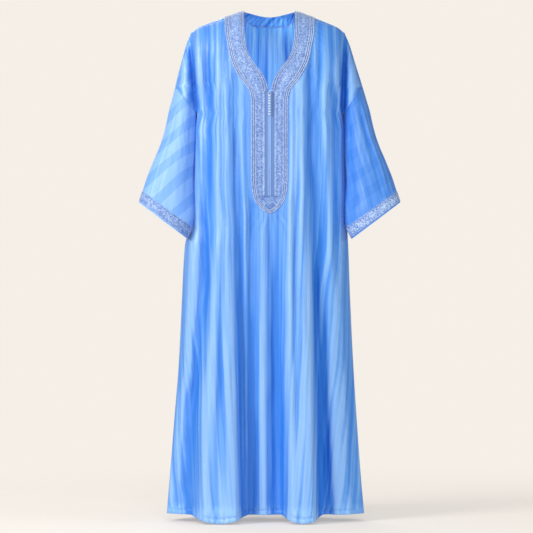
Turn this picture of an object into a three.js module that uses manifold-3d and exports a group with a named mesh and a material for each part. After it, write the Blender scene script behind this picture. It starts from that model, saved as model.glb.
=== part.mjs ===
// A gandoura: a long loose robe with drop shoulders, short wide sleeves with embroidered cuffs, a scooped
// V neck framed by an embroidered band that runs down into a pointed placket, and a zip with a beaded pull.
// Units are millimetres. +Z is up and the front faces -Y. The origin is on the shoulder line, midway between
// the two neck points, where the wearer's shoulders carry the robe.
//
// The whole robe is first drawn as one sheet of cells that share their corners. Each cut piece is a set of
// those cells, thickened into a wall, so that neighbouring pieces keep the same corners and a narrow seam.

import * as THREE from "three";
import Module from "manifold-3d";

const wasm = await Module();
wasm.setup();

const { clamp, lerp } = THREE.MathUtils;

// ---------------------------------------------------------------- driving dimensions

const WALL = 1.5; // cloth, with its turned edges
const SEAM_GAP = 0.3; // between two pieces that are sewn together
const HEM_Z = -1412;
const LOBE_DROP = 6; // how much lower the hem hangs on the two front folds
const CORNER = { x: 219, z: -58 }; // where the shoulder line turns down the arm
const SHOULDER_DROP = 110; // height over which the shoulders round away
const DROP_SEAM = { x: 264, z: -212 }; // outer end of the seam that joins the sleeve
const ARMPIT = { x: 206, z: -290 };
const NECK_HALF = 71; // neck point to centre
const NECK_BACK = 80; // how far behind the neck points the back neck lies
const BACK_BAND_REACH = 102; // how far back the lower seam of the back neck band lies
const SLIT_END_Z = -522;
const PLACKET_TIP_Z = -570;
const FORWARD_SEAM = 8; // the shoulder seam runs this far below the shoulder line, at the front

const TAPE_TOP = 1.3; // face of the zip tapes above the panel
const BAND_TOP = 1.5; // face of the embroidered field
const BRAID_TOP = 2.3; // face of the braids along its edges
const CUFF_TOP = 1.8; // face of the cuff trim above the sleeve

// The outer line of shoulder, arm and sleeve, seen from the front.
const OUTER_LINE = [
  { z: -58, x: 219 },
  { z: -80, x: 226 },
  { z: -103, x: 233 },
  { z: -136, x: 242.5 },
  { z: -179, x: 255 },
  { z: -212, x: 264 },
  { z: -263, x: 277 },
  { z: -348, x: 300 },
  { z: -432, x: 328 },
  { z: -538, x: 366 },
];

// The top of the shoulders from the neck point outwards; past the corner it only sets the rounding.
const SHOULDER_LINE = [
  { x: 0, z: 0 },
  { x: 71, z: 0 },
  { x: 110, z: -12 },
  { x: 172, z: -35 },
  { x: 200, z: -46 },
  { x: 219, z: -58 },
  { x: 320, z: -110 },
];

// The body's section at each height: half width, depth in front and behind, and its shift to one side.
const BODY_SECTIONS = [
  { z: 0, half: 216, front: 92, back: 110, shift: 0 },
  { z: -58, half: 215, front: 94, back: 110, shift: -5 },
  { z: -150, half: 212, front: 97, back: 110, shift: -4 },
  { z: -290, half: 206, front: 104, back: 109, shift: 0 },
  { z: -450, half: 205, front: 107, back: 107, shift: -4 },
  { z: -600, half: 216, front: 104, back: 106, shift: -7 },
  { z: -660, half: 230, front: 102, back: 106, shift: -8.5 },
  { z: -812, half: 237, front: 98, back: 106, shift: -10 },
  { z: -981, half: 245, front: 88, back: 105, shift: -10 },
  { z: -1150, half: 257, front: 76, back: 103, shift: -11.5 },
  { z: -1319, half: 270, front: 64, back: 101, shift: -12 },
  { z: -1412, half: 278, front: 58, back: 100, shift: -11.5 },
];
const SECTION_POWER = 2.5; // how square the section is
const ARM_INNER = [
  { z: -290, x: 206 },
  { z: -212, x: 160 },
  { z: -58, x: 84 },
];
const ARM_DEPTH = { front: 54, back: 52 };

// The edge of the neck opening, and the outer edge and the inner lines of the embroidered band and placket.
// field and braid are the lines between the inner braid, the embroidered field and the outer braid.
const NECK_LINES = [
  { z: 0, edge: 71, tape: 74, braid: 82, field: 113, outer: 127 },
  { z: -63, edge: 70, tape: 73, braid: 81, field: 110, outer: 124 },
  { z: -108, edge: 64, tape: 67, braid: 75, field: 102, outer: 116 },
  { z: -141, edge: 50, tape: 53.5, braid: 62, field: 94, outer: 109 },
  { z: -168, edge: 30, tape: 35, braid: 44, field: 82, outer: 98 },
  { z: -191, edge: 14.5, tape: 20.5, braid: 30, field: 68, outer: 85 },
  { z: -211, edge: 6.5, tape: 15.5, braid: 24, field: 53, outer: 69 },
  { z: -229, edge: 3, tape: 14, braid: 20, field: 42, outer: 57 },
  { z: -265, edge: 3, tape: 14, braid: 18, field: 37, outer: 51 },
  { z: -476, edge: 3, tape: 14, braid: 18, field: 37, outer: 51 },
  { z: -500, edge: 3, tape: 14, braid: 18, field: 34, outer: 48 },
  { z: -522, edge: 3, tape: 14, braid: 18, field: 28, outer: 41.5 },
  { z: -545, edge: 2.5, tape: 7, braid: 10.5, field: 14.5, outer: 28 },
  { z: -556, edge: 2, tape: 3.6, braid: 5.2, field: 7, outer: 18 },
  { z: -570, edge: 1, tape: 1.9, braid: 2.8, field: 3.7, outer: 5 },
  { z: -600, edge: 4, tape: 12, braid: 19, field: 26, outer: 34 },
  { z: -690, edge: 5, tape: 17, braid: 28, field: 40, outer: 52 },
  { z: -1412, edge: 5, tape: 17, braid: 29, field: 41, outer: 54 },
];
const NECK_COLUMNS = ["outer", "field", "braid", "tape", "edge"];

// Rolls of cloth that stand out from the body. Each lies between a left and a right line, which run from
// the chest to the hem, with its own softness on each side, and grows from one height to the other.
const CHEST_Z = -230;
const FRONT_ROLLS = [
  { name: "left_side", left: [-212, -262], right: [-180, -222], softness: [16, 24], height: [9, 10] },
  { name: "left_lobe", left: [-166, -205], right: [-95, -81], softness: [26, 20], height: [7, 80] },
  { name: "centre", left: [-44, -36], right: [-2, 2], softness: [26, 26], height: [2, 9] },
  { name: "right_lobe", left: [36, 48], right: [112, 132], softness: [20, 18], height: [8, 78] },
  { name: "right_side", left: [146, 176], right: [192, 236], softness: [26, 34], height: [8, 16] },
];
const BACK_ROLLS = [
  { name: "left_side", left: [-196, -250], right: [-164, -196], softness: [24, 30], height: [6, 22] },
  { name: "left_inner", left: [-132, -158], right: [-92, -104], softness: [26, 30], height: [7, 34] },
  { name: "left_centre", left: [-52, -62], right: [-20, -14], softness: [20, 26], height: [5, 28] },
  { name: "right_centre", left: [14, 30], right: [50, 72], softness: [20, 26], height: [5, 24] },
  { name: "right_inner", left: [84, 106], right: [126, 160], softness: [26, 30], height: [7, 36] },
  { name: "right_side", left: [166, 198], right: [198, 244], softness: [24, 32], height: [5, 20] },
];
const ROLL_START_Z = -50;
const ROLL_GROWTH = 1.7;

// The deep fold that runs from the shoulder corner down to the armpit, between body and arm.
const ARM_FOLD = [
  { z: -290, x: 206, depth: 0 },
  { z: -262, x: 207, depth: 20 },
  { z: -200, x: 209, depth: 26 },
  { z: -140, x: 213, depth: 20 },
  { z: -90, x: 217, depth: 8 },
  { z: -60, x: 219, depth: 0 },
];
const ARM_FOLD_WIDTH = { inner: 10, outer: 16 };

// Gathers under the back neck band, which fade out between the shoulder blades.
const BACK_GATHERS = { count: 9, half: 62, height: 3.2, from: -25, to: -250 };

// The sleeve's inner line, and its axis and depth from the armhole (0) to the cuff (1).
const SLEEVE_INNER = [
  { z: -290, x: 206 },
  { z: -450, x: 212 },
  { z: -600, x: 216 },
  { z: -641, x: 229 },
];
const SLEEVE_SECTIONS = [
  { at: 0, axisY: 0, front: 52, back: 50 },
  { at: 0.4, axisY: -24, front: 50, back: 50 },
  { at: 1, axisY: -56, front: 54, back: 52 },
];
const SLEEVE_RINGS = [0, 0.08, 0.2, 0.34, 0.48, 0.62, 0.76, 0.909, 0.988, 1];
const CUFF_RING = 7; // the trim lies between this ring and the next
const SLEEVE_CREASE = { height: 2.5, turns: 2, slant: 9 };
const CUFF_OUTER_Z = -538;

// How the rows of cells are spread from the shoulder down to the sleeve seam, along it, and to the hem.
const EDGE_STEPS = [0, 0.06, 0.14, 0.25, 0.38, 0.53, 0.68, 0.84, 1];
const FRONT_STEPS = [0, 0.09, 0.19, 0.3, 0.42, 0.55, 0.69, 0.84, 1];
const BACK_STEPS = [0, 0, 0, 0.1, 0.24, 0.4, 0.58, 0.79, 1];
const SEAM_STEPS = 7;
const LOWER_ROWS = [
  -336, -383, -430, -476, -500, -522, -545, -556, -570, -600, -690, -790, -900, -1010, -1120, -1230, -1330, -1412,
];
const SIDE_COLUMNS = 12;
const BACK_NECK_COLUMNS = 4;

// The zip's slider and its pull, a stack of balls on a wire loop.
const SLIDER = { width: 6, height: 13, plate: 2.2, eye: 1.9, bail: 1.3, topZ: -228 };
const LOOP = { wire: 1.6, inside: 7.4, drop: 6.6 };
const BALLS = { count: 8, radius: 4.6, pitch: 7.3, squash: 4.0, rimSteps: 4, sides: 10 };
const BALL_CLEARANCE = 0.8;

// ---------------------------------------------------------------- curves and shapes

const smooth = (t) => {
  const c = clamp(t, 0, 1);
  return c * c * (3 - 2 * c);
};

/** A smooth function through a table's rows that never swings past them (monotone cubic). */
function through(rows, along, value) {
  const table = [...rows].sort((a, b) => a[along] - b[along]);
  const at = table.map((row) => row[along]);
  const val = table.map((row) => row[value]);
  const rise = at.slice(1).map((a, i) => (val[i + 1] - val[i]) / (a - at[i]));
  const slope = at.map((_, i) => {
    if (i === 0) return rise[0];
    if (i === at.length - 1) return rise[i - 1];
    if (rise[i - 1] * rise[i] <= 0) return 0;
    return (2 * rise[i - 1] * rise[i]) / (rise[i - 1] + rise[i]);
  });
  return (p) => {
    const q = clamp(p, at[0], at[at.length - 1]);
    const next = at.findIndex((a) => a > q);
    const i = next < 0 ? at.length - 2 : Math.max(0, next - 1);
    const step = at[i + 1] - at[i];
    const t = (q - at[i]) / step;
    const value0 = (1 + 2 * t) * (1 - t) ** 2 * val[i] + t * (1 - t) ** 2 * step * slope[i];
    return value0 + t * t * (3 - 2 * t) * val[i + 1] + t * t * (t - 1) * step * slope[i + 1];
  };
}

const outerX = through(OUTER_LINE, "z", "x");
const shoulderZ = through(SHOULDER_LINE, "x", "z");
const halfWidth = through(BODY_SECTIONS, "z", "half");
const bodyShift = through(BODY_SECTIONS, "z", "shift");
const bodyDepth = {
  front: through(BODY_SECTIONS, "z", "front"),
  back: through(BODY_SECTIONS, "z", "back"),
};
const armInnerX = through(ARM_INNER, "z", "x");
const foldX = through(ARM_FOLD, "z", "x");
const foldDepth = through(ARM_FOLD, "z", "depth");
const sleeveInnerX = through(SLEEVE_INNER, "z", "x");
const sleeveAxisY = through(SLEEVE_SECTIONS, "at", "axisY");
const sleeveDepth = {
  front: through(SLEEVE_SECTIONS, "at", "front"),
  back: through(SLEEVE_SECTIONS, "at", "back"),
};
const neckLine = Object.fromEntries(NECK_COLUMNS.map((name) => [name, through(NECK_LINES, "z", name)]));

/** How far out the rounding of the shoulders lets the cloth stand, a share below the shoulder line. */
const roundOff = (share, power) => (1 - (1 - clamp(share, 0, 1)) ** power) ** (1 / power);

/** The back is squarer beside the neck than out on the shoulder. */
const backPower = (x) => lerp(4, 2.4, smooth((Math.abs(x) - 80) / 110));
const FRONT_POWER = 2.2;

/** The distance out along the shoulders, which hang a little to one side at their corners. */
const reachOut = (x) => Math.abs(x - bodyShift(CORNER.z) * smooth((Math.abs(x) - NECK_HALF) / (CORNER.x - NECK_HALF)));

/** The back neck stands a little above the neck points. */
const BACK_NECK_RISE = 8;
const frontShoulderZ = (x) => shoulderZ(reachOut(x));
const backShoulderZ = (x) => frontShoulderZ(x) + BACK_NECK_RISE * clamp(1 - (x / NECK_HALF) ** 2, 0, 1);

/** How much a roll of cloth lifts the surface at x, from 0 to 1, with softened sides. */
function rollShape(roll, x, down) {
  const left = lerp(roll.left[0], roll.left[1], down);
  const right = lerp(roll.right[0], roll.right[1], down);
  const [softLeft, softRight] = roll.softness;
  return smooth((x - left) / softLeft + 0.5) * smooth((right - x) / softRight + 0.5);
}

/** The height of all the rolls at a place. */
function rolls(table, x, z) {
  const down = clamp((CHEST_Z - z) / (CHEST_Z - HEM_Z), 0, 1);
  const start = smooth((ROLL_START_Z - z) / (ROLL_START_Z - CHEST_Z));
  const lift = table.map(
    (roll) => lerp(roll.height[0], roll.height[1], down ** ROLL_GROWTH) * rollShape(roll, x, down),
  );
  return start * lift.reduce((sum, h) => sum + h, 0);
}

function gathers(x, z) {
  const { count, half, height, from, to } = BACK_GATHERS;
  const across = clamp(1 - (Math.abs(x) / (half + 12)) ** 4, 0, 1);
  const fade = smooth((z - to) / (from - to));
  return height * across * fade * Math.cos((Math.PI * count * x) / half);
}

/** The depth of body and arm at a place, before the shoulders round it off. */
function clothDepth(side, x, z) {
  const own = Math.abs(x - bodyShift(z));
  const body = bodyDepth[side](z) * Math.max(0, 1 - (own / halfWidth(z)) ** SECTION_POWER) ** (1 / SECTION_POWER);
  if (z <= ARMPIT.z) return body;
  const outer = outerX(z);
  const inner = armInnerX(z);
  const across = (own - (outer + inner) / 2) / ((outer - inner) / 2);
  const arm = ARM_DEPTH[side] * Math.sqrt(Math.max(0, 1 - across ** 2));
  return (body ** 4 + arm ** 4) ** 0.25;
}

/** The fold between body and arm, as a depth to take away. */
function armFold(x, z) {
  const off = Math.abs(x - bodyShift(z)) - foldX(z);
  const width = off < 0 ? ARM_FOLD_WIDTH.inner : ARM_FOLD_WIDTH.outer;
  return foldDepth(z) * Math.exp(-((off / width) ** 2));
}

/** Folds flatten towards the sides, where front and back meet. */
const sideFade = (x, z) => {
  const limit = z > ARMPIT.z ? outerX(z) : halfWidth(z);
  return clamp(1.6 * (1 - (Math.abs(x - bodyShift(z)) / limit) ** 8), 0, 1);
};

function frontY(x, z) {
  const share = (frontShoulderZ(x) - z) / SHOULDER_DROP;
  const depth = clothDepth("front", x, z);
  const folded = depth - Math.min(armFold(x, z), 0.62 * depth) + rolls(FRONT_ROLLS, x, z) * sideFade(x, z);
  return -folded * roundOff(share, FRONT_POWER);
}

function backY(x, z) {
  const share = (backShoulderZ(x) - z) / SHOULDER_DROP;
  const depth = clothDepth("back", x, z);
  const fold = Math.min(0.5 * armFold(x, z), 0.5 * depth);
  const folded = depth - fold + (rolls(BACK_ROLLS, x, z) + gathers(x, z)) * sideFade(x, z);
  return folded * roundOff(share, backPower(x));
}

// ---------------------------------------------------------------- rows and columns of the panels

const TOP_ROWS = EDGE_STEPS.length; // rows from the shoulder to the outer end of the sleeve seam
const TOP_DROP = (CORNER.z - DROP_SEAM.z) / SHOULDER_DROP;
const FULL_DROP = (CORNER.z - ARMPIT.z) / SHOULDER_DROP;
const ARMPIT_ROW = TOP_ROWS - 1 + SEAM_STEPS;
const ROW_COUNT = ARMPIT_ROW + 1 + LOWER_ROWS.length;
const RIDGE_STEP = 12; // the first rows behind the shoulder line are this far apart

/** The share of the way along the sleeve seam of one of its rows, from its outer end to the armpit. */
const seamShare = (row) => (row - TOP_ROWS + 1) / SEAM_STEPS;

/** Where a row meets the edge of its panel: the arm's outer line, the sleeve seam or the side seam. */
function rowEdge(row) {
  if (row < TOP_ROWS) {
    const z = CORNER.z - SHOULDER_DROP * TOP_DROP * EDGE_STEPS[row];
    return { x: outerX(z), z };
  }
  if (row <= ARMPIT_ROW) {
    const t = seamShare(row);
    return { x: lerp(DROP_SEAM.x, ARMPIT.x, t), z: lerp(DROP_SEAM.z, ARMPIT.z, t) };
  }
  const z = LOWER_ROWS[row - ARMPIT_ROW - 1];
  return { x: halfWidth(z), z };
}

/** The shoulder seam runs forward of the shoulder line and joins it just before the corner. */
const SEAM_JOIN = 192;
const seamShift = (reach) => (reach < SEAM_JOIN ? lerp(0.3, 1, smooth((SEAM_JOIN - reach) / 60)) : 0);

const nearEdge = (x) => smooth((reachOut(x) - 150) / (CORNER.x - 150));

/** How far below the shoulder line a row runs at x, in shoulder drops. */
function frontDrop(row, x) {
  const edge = TOP_DROP * EDGE_STEPS[row];
  const seam = (FORWARD_SEAM / SHOULDER_DROP) * seamShift(reachOut(x));
  return lerp(seam + (TOP_DROP - seam) * FRONT_STEPS[row], edge, nearEdge(x));
}

/** Behind the shoulder line the first rows lie side by side, and at the neck they follow its opening. */
function backRowY(row, x) {
  const inNeck = Math.abs(x) < NECK_HALF;
  const neckY = inNeck ? NECK_BACK * Math.sqrt(1 - (x / NECK_HALF) ** 2) : 0;
  const square = inNeck ? (1 - (Math.abs(x) / NECK_HALF) ** 6) ** (1 / 6) : 0;
  const bandY = lerp(2 * RIDGE_STEP, BACK_BAND_REACH, square);
  return lerp(neckY, bandY, row / 2);
}

function backDrop(row, x) {
  const full = bodyDepth.back(0);
  const power = backPower(x);
  const dropAt = (y) => 1 - (1 - (Math.min(y, full * 0.98) / full) ** power) ** (1 / power);
  const start = dropAt(backRowY(Math.min(row, 2), x));
  const inside = start + (TOP_DROP - start) * BACK_STEPS[row];
  return lerp(inside, TOP_DROP * EDGE_STEPS[row], nearEdge(x));
}

/** The height of a row at x: it follows the shoulder line at the top and levels out at the armpit. */
function rowHeight(row, x, dropOf, lineOf) {
  if (row > ARMPIT_ROW) return LOWER_ROWS[row - ARMPIT_ROW - 1];
  const drop = row < TOP_ROWS ? dropOf(row, x) : (CORNER.z - rowEdge(row).z) / SHOULDER_DROP;
  const level = clamp(drop / FULL_DROP, 0, 1) ** 1.5;
  return lerp(Math.max(lineOf(x), CORNER.z), CORNER.z, level) - SHOULDER_DROP * drop;
}

const frontHeight = (row, x) => rowHeight(row, x, frontDrop, frontShoulderZ);
const backHeight = (row, x) => rowHeight(row, x, backDrop, backShoulderZ);

/** The hem hangs lower where the cloth stands out in front. */
function hemDrop(x, z) {
  const low = smooth((z - HEM_Z - 90) / -90);
  const out = clamp((-frontY(x, z) - 70) / 50, 0, 1);
  return LOBE_DROP * low * out;
}

function frontPoint(row, x) {
  const z = frontHeight(row, x);
  return new THREE.Vector3(x, frontY(x, z), z - hemDrop(x, z));
}

function backPoint(row, x) {
  const z = backHeight(row, x);
  return new THREE.Vector3(x, backY(x, z), z);
}

/** x of a row's end on one side (-1 is the wearer's right, at -X). */
function edgeX(row, side) {
  const edge = rowEdge(row);
  return bodyShift(edge.z) + side * edge.x;
}

/** Splits the cloth from one x to another into equal lengths. It is finer at the start, which is steep. */
function spread(pointAt, from, to, count) {
  const SAMPLES = 90;
  const xs = Array.from(
    { length: SAMPLES + 1 },
    (_, i) => from + (to - from) * (1 - Math.cos((Math.PI * i) / (2 * SAMPLES))),
  );
  const points = xs.map(pointAt);
  const lengths = [0];
  for (let i = 1; i <= SAMPLES; i++) lengths.push(lengths[i - 1] + points[i].distanceTo(points[i - 1]));
  return Array.from({ length: count + 1 }, (_, j) => {
    const want = (lengths[SAMPLES] * j) / count;
    const i = clamp(lengths.findIndex((l) => l >= want), 1, SAMPLES);
    const t = (want - lengths[i - 1]) / (lengths[i] - lengths[i - 1]);
    return lerp(xs[i - 1], xs[i], t);
  });
}

/** x of a line of the neck table where a row crosses it. */
function neckX(row, name) {
  let x = neckLine[name](frontHeight(row, 0));
  for (let i = 0; i < 12; i++) x = neckLine[name](frontHeight(row, x));
  return x;
}

/** The x values of one half of a front row, from the edge to the neck opening or the slit. */
function frontColumns(row, side) {
  const band = NECK_COLUMNS.map((name) => side * neckX(row, name));
  const outside = spread((x) => frontPoint(row, x), edgeX(row, side), band[0], SIDE_COLUMNS);
  return [...outside.slice(0, -1), ...band];
}

/** The x values of one half of a back row, from the edge to the centre. */
function backColumns(row, side) {
  const top = frontColumns(0, side);
  const neck = Array.from(
    { length: BACK_NECK_COLUMNS },
    (_, i) => side * NECK_HALF * Math.cos((Math.PI / 2) * ((i + 1) / BACK_NECK_COLUMNS)),
  );
  const drawn = [...top, ...neck];
  const reach = edgeX(row, side) / top[0];
  const even = spread((x) => backPoint(row, x), edgeX(row, side), 0, drawn.length - 1);
  const blend = smooth((row - 1) / 6);
  return drawn.map((x, j) => lerp(j <= SIDE_COLUMNS ? x * reach : x, even[j], blend));
}

/** Joins the two halves of a row into one, from -X to +X, with or without a point between them. */
const joinHalves = (left, right, middle) => [...left, ...middle, ...right.reverse()];

function frontRow(row) {
  const xs = joinHalves(frontColumns(row, -1), frontColumns(row, 1), [0]);
  return xs.map((x) => frontPoint(row, x));
}

function backRow(row) {
  const right = backColumns(row, 1).slice(0, -1);
  const xs = joinHalves(backColumns(row, -1), right, []);
  return xs.map((x) => backPoint(row, x));
}

// ---------------------------------------------------------------- the sheet of cells

const SMOOTH_SEAM = 0.3; // a seam whose sides face the same way at least this much is smooth

/** A sheet of cells with shared corners, from which walls are cut. */
class Sheet {
  constructor() {
    this.points = [];
    this.byPlace = new Map();
    this.triangles = [];
  }

  corner(point) {
    const key = point.toArray().map((c) => Math.round(c * 1000)).join(" ");
    if (!this.byPlace.has(key)) {
      this.byPlace.set(key, this.points.length);
      this.points.push(point.clone());
    }
    return this.byPlace.get(key);
  }

  /** Adds the cells between rows of points. tagsAt(row, column) names the pieces that a cell belongs to. */
  addGrid(rows, tagsAt, reversed) {
    for (let k = 0; k + 1 < rows.length; k++) {
      for (let j = 0; j + 1 < rows[k].length; j++) {
        const tags = tagsAt(k, j);
        if (!tags.length) continue;
        const corners = [rows[k][j], rows[k + 1][j], rows[k + 1][j + 1], rows[k][j + 1]];
        const [a, b, c, d] = corners.map((p) => this.corner(p));
        const shortest = corners[0].distanceTo(corners[2]) <= corners[1].distanceTo(corners[3]);
        const halves = shortest ? [[a, b, c], [a, c, d]] : [[a, b, d], [b, c, d]];
        for (const half of halves) this.addTriangle(reversed ? half.reverse() : half, tags);
      }
    }
  }

  addTriangle(corners, tags) {
    if (new Set(corners).size === 3) this.triangles.push({ corners, tags });
  }

  /** Settles the outward direction at each corner, from all the cells round it. */
  settle() {
    const sums = this.points.map(() => new THREE.Vector3());
    for (const { corners } of this.triangles) {
      const [a, b, c] = corners.map((i) => this.points[i]);
      const face = b.clone().sub(a).cross(c.clone().sub(a));
      for (const i of corners) sums[i].add(face);
    }
    this.outward = sums.map((s) => s.normalize());
  }

  /** Gives the corners that two sheets share one direction, where they run on smoothly. */
  agree(other, points) {
    for (const point of points) {
      const [own, theirs] = [this.corner(point), other.corner(point)];
      if (this.outward[own].dot(other.outward[theirs]) < SMOOTH_SEAM) continue;
      const shared = this.outward[own].clone().add(other.outward[theirs]).normalize();
      this.outward[own] = other.outward[theirs] = shared;
    }
  }

  /** The closed wall of one piece, from one height over the sheet to another. */
  wall(piece, low, high) {
    const own = this.triangles.filter((t) => t.tags.includes(piece)).map((t) => t.corners);
    const edges = new Set(own.flatMap((corners) => corners.map((a, n) => a + " " + corners[(n + 1) % 3])));
    const rim = [...edges].map((e) => e.split(" ").map(Number)).filter(([a, b]) => !edges.has(b + " " + a));
    const inward = new Map();
    for (const [from, to] of rim) {
      const along = this.points[to].clone().sub(this.points[from]);
      for (const i of [from, to]) {
        const left = this.outward[i].clone().cross(along).normalize();
        inward.set(i, [...(inward.get(i) ?? []), left]);
      }
    }
    const used = [...new Set(own.flat())];
    const place = new Map(used.map((i, n) => [i, n]));
    const at = (i, height) => {
      const p = this.points[i].clone().addScaledVector(this.outward[i], height);
      const sides = inward.get(i);
      if (!sides) return p;
      const miter = sides[0].clone().add(sides[1]).divideScalar(1 + Math.max(-0.5, sides[0].dot(sides[1])));
      return p.addScaledVector(miter, SEAM_GAP / 2);
    };
    const top = used.map((i) => at(i, high));
    const bottom = used.map((i) => at(i, low));
    const under = used.length;
    const faces = own.flatMap((corners) => {
      const [a, b, c] = corners.map((i) => place.get(i));
      return [[a, b, c], [a + under, c + under, b + under]];
    });
    // Neighbouring pieces split the faces of a seam along the same diagonal.
    for (const [from, to] of rim) {
      const [a, b] = [place.get(from), place.get(to)];
      const rising = this.points[from].z < this.points[to].z;
      if (rising) faces.push([b, a, a + under], [b, a + under, b + under]);
      else faces.push([b, a, b + under], [a, a + under, b + under]);
    }
    const geometry = new THREE.BufferGeometry().setFromPoints([...top, ...bottom]);
    geometry.setIndex(faces.flat());
    return geometry;
  }
}

// ---------------------------------------------------------------- the cut pieces

const FRONT_HALF = SIDE_COLUMNS + NECK_COLUMNS.length - 1; // cells from the edge to the opening
const BACK_HALF = FRONT_HALF + BACK_NECK_COLUMNS;
const rowAt = (z) => ARMPIT_ROW + 1 + LOWER_ROWS.indexOf(z);
const SLIT_TOP_ROW = TOP_ROWS + 2; // the row that meets the bottom of the V
const SLIT_END_ROW = rowAt(SLIT_END_Z);
const TIP_ROW = rowAt(PLACKET_TIP_Z);
const FIELD_END_ROW = TIP_ROW - 1;

/** Which piece of the neck band lies on a band cell, counted from the outer edge (0) to the opening (3). */
function bandPiece(column, row, side) {
  if (row >= TIP_ROW) return [];
  if (column === 0) return ["braid_outer"];
  if (row >= FIELD_END_ROW) return ["braid_outer"];
  if (row >= SLIT_END_ROW || column === 1) return ["neck_band"];
  if (column === 2 || row < SLIT_TOP_ROW) return ["braid_inner_" + side];
  return ["zip_tape_" + side];
}

/** The pieces on a cell of the front. */
function frontTags(row, column) {
  const left = column <= FRONT_HALF;
  const side = left ? "right" : "left"; // the wearer's right is at -X
  const fromEdge = left ? column : 2 * FRONT_HALF + 1 - column;
  const inMiddle = fromEdge >= FRONT_HALF;
  if (inMiddle && row < SLIT_TOP_ROW) return [];
  if (inMiddle && row < SLIT_END_ROW) return ["zip_tape_" + side];
  const own = fromEdge < SIDE_COLUMNS ? [] : bandPiece(Math.min(fromEdge - SIDE_COLUMNS, 3), row, side);
  return ["front_panel", ...own];
}

/** The pieces on a cell of the back. Row 0 lies between the shoulder seam and the shoulder line. */
function backTags(row, column) {
  const left = column < BACK_HALF;
  const fromEdge = left ? column : 2 * BACK_HALF - 1 - column;
  if (fromEdge >= FRONT_HALF) {
    if (row === 0) return [];
    return row <= 2 ? ["back_neck_band"] : ["back_panel"];
  }
  const onBand = fromEdge >= SIDE_COLUMNS && row <= 1;
  const own = onBand ? bandPiece(fromEdge - SIDE_COLUMNS, 0, left ? "right" : "left") : [];
  return ["back_panel", ...own];
}

/** Moves the seam row of the front into the back's columns; the neck opening has no seam. */
function seamRow(front, ridge) {
  const half = FRONT_HALF + 1;
  const neck = ridge.slice(half, ridge.length - half);
  return [...front.slice(0, half), ...neck, ...front.slice(-half)];
}

/** A point of the sleeve: share is the way down from the armhole, angle starts at the outer line. */
function sleevePoint(side, share, angle) {
  const outerZ = lerp(DROP_SEAM.z, CUFF_OUTER_Z, share);
  const innerZ = lerp(ARMPIT.z, SLEEVE_INNER[SLEEVE_INNER.length - 1].z, share);
  const toInner = (1 - Math.cos(angle)) / 2;
  const face = Math.sin(angle) >= 0 ? "front" : "back";
  const x = lerp(outerX(outerZ), sleeveInnerX(innerZ), toInner);
  const z = lerp(outerZ, innerZ, toInner);
  const y = sleeveAxisY(share) - sleeveDepth[face](share) * Math.sin(angle);
  const wave = Math.sin(SLEEVE_CREASE.turns * angle + SLEEVE_CREASE.slant * share + 0.7);
  const out = SLEEVE_CREASE.height * wave * smooth(share * 3) * smooth((1.05 - share) * 4);
  return new THREE.Vector3(side * (x + out * Math.cos(angle)), y - out * Math.sin(angle), z);
}

/** The rings of a sleeve. The first one is the armhole edge of the panels, and the next ones ease off it. */
function sleeveRings(side, armhole) {
  const count = armhole.length;
  const angles = armhole.map((_, i) => (2 * Math.PI * i) / count);
  const offsets = armhole.map((p, i) => p.clone().sub(sleevePoint(side, 0, angles[i])));
  return SLEEVE_RINGS.map((share) => {
    const ease = (1 - share) ** 4;
    const ring = angles.map((a, i) => sleevePoint(side, share, a).addScaledVector(offsets[i], ease));
    return [...ring, ring[0]];
  });
}

const frontRows = Array.from({ length: ROW_COUNT }, (_, k) => frontRow(k));
const backRows = Array.from({ length: ROW_COUNT }, (_, k) => backRow(k));

/** Front and back end on the same points at the side, so one of them gives both. */
for (let k = 0; k < ROW_COUNT; k++) {
  const onSeam = k >= TOP_ROWS && k < ARMPIT_ROW;
  if (onSeam) continue;
  backRows[k][0].copy(frontRows[k][0]);
  backRows[k][backRows[k].length - 1].copy(frontRows[k][frontRows[k].length - 1]);
}

/** The loop of the armhole, from its outer end down the front to the armpit and up the back. */
function armholeLoop(end) {
  const pick = (rows, k) => (end < 0 ? rows[k][0] : rows[k][rows[k].length - 1]);
  const down = Array.from({ length: SEAM_STEPS + 1 }, (_, i) => pick(frontRows, TOP_ROWS - 1 + i));
  const up = Array.from({ length: SEAM_STEPS - 1 }, (_, i) => pick(backRows, ARMPIT_ROW - 1 - i));
  return [...down, ...up];
}

const body = new Sheet();
body.addGrid(frontRows, frontTags, false);
body.addGrid([seamRow(frontRows[0], backRows[0]), ...backRows], backTags, true);
body.settle();

/** The sheet of one sleeve, on the wearer's right (-1) or left (1). */
function sleeveSheet(side) {
  const sleeve = new Sheet();
  const armhole = armholeLoop(side);
  const rings = sleeveRings(side, armhole);
  sleeve.addGrid(rings, (ring) => (ring === CUFF_RING ? ["sleeve", "cuff_trim"] : ["sleeve"]), side > 0);
  sleeve.settle();
  body.agree(sleeve, armhole);
  return sleeve;
}

// ---------------------------------------------------------------- the zip's slider and pull

/** A manifold solid from a geometry, and back. */
function solidOf(geometry) {
  const flat = geometry.index ? geometry.toNonIndexed() : geometry;
  const { array } = flat.getAttribute("position");
  const mesh = new wasm.Mesh({
    numProp: 3,
    vertProperties: array,
    triVerts: Uint32Array.from({ length: array.length / 3 }, (_, i) => i),
  });
  mesh.merge();
  return new wasm.Manifold(mesh);
}

function geometryOf(solid) {
  const { vertProperties, triVerts } = solid.getMesh();
  const geometry = new THREE.BufferGeometry();
  geometry.setAttribute("position", new THREE.BufferAttribute(vertProperties, 3));
  geometry.setIndex(new THREE.BufferAttribute(triVerts, 1));
  return geometry;
}

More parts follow.
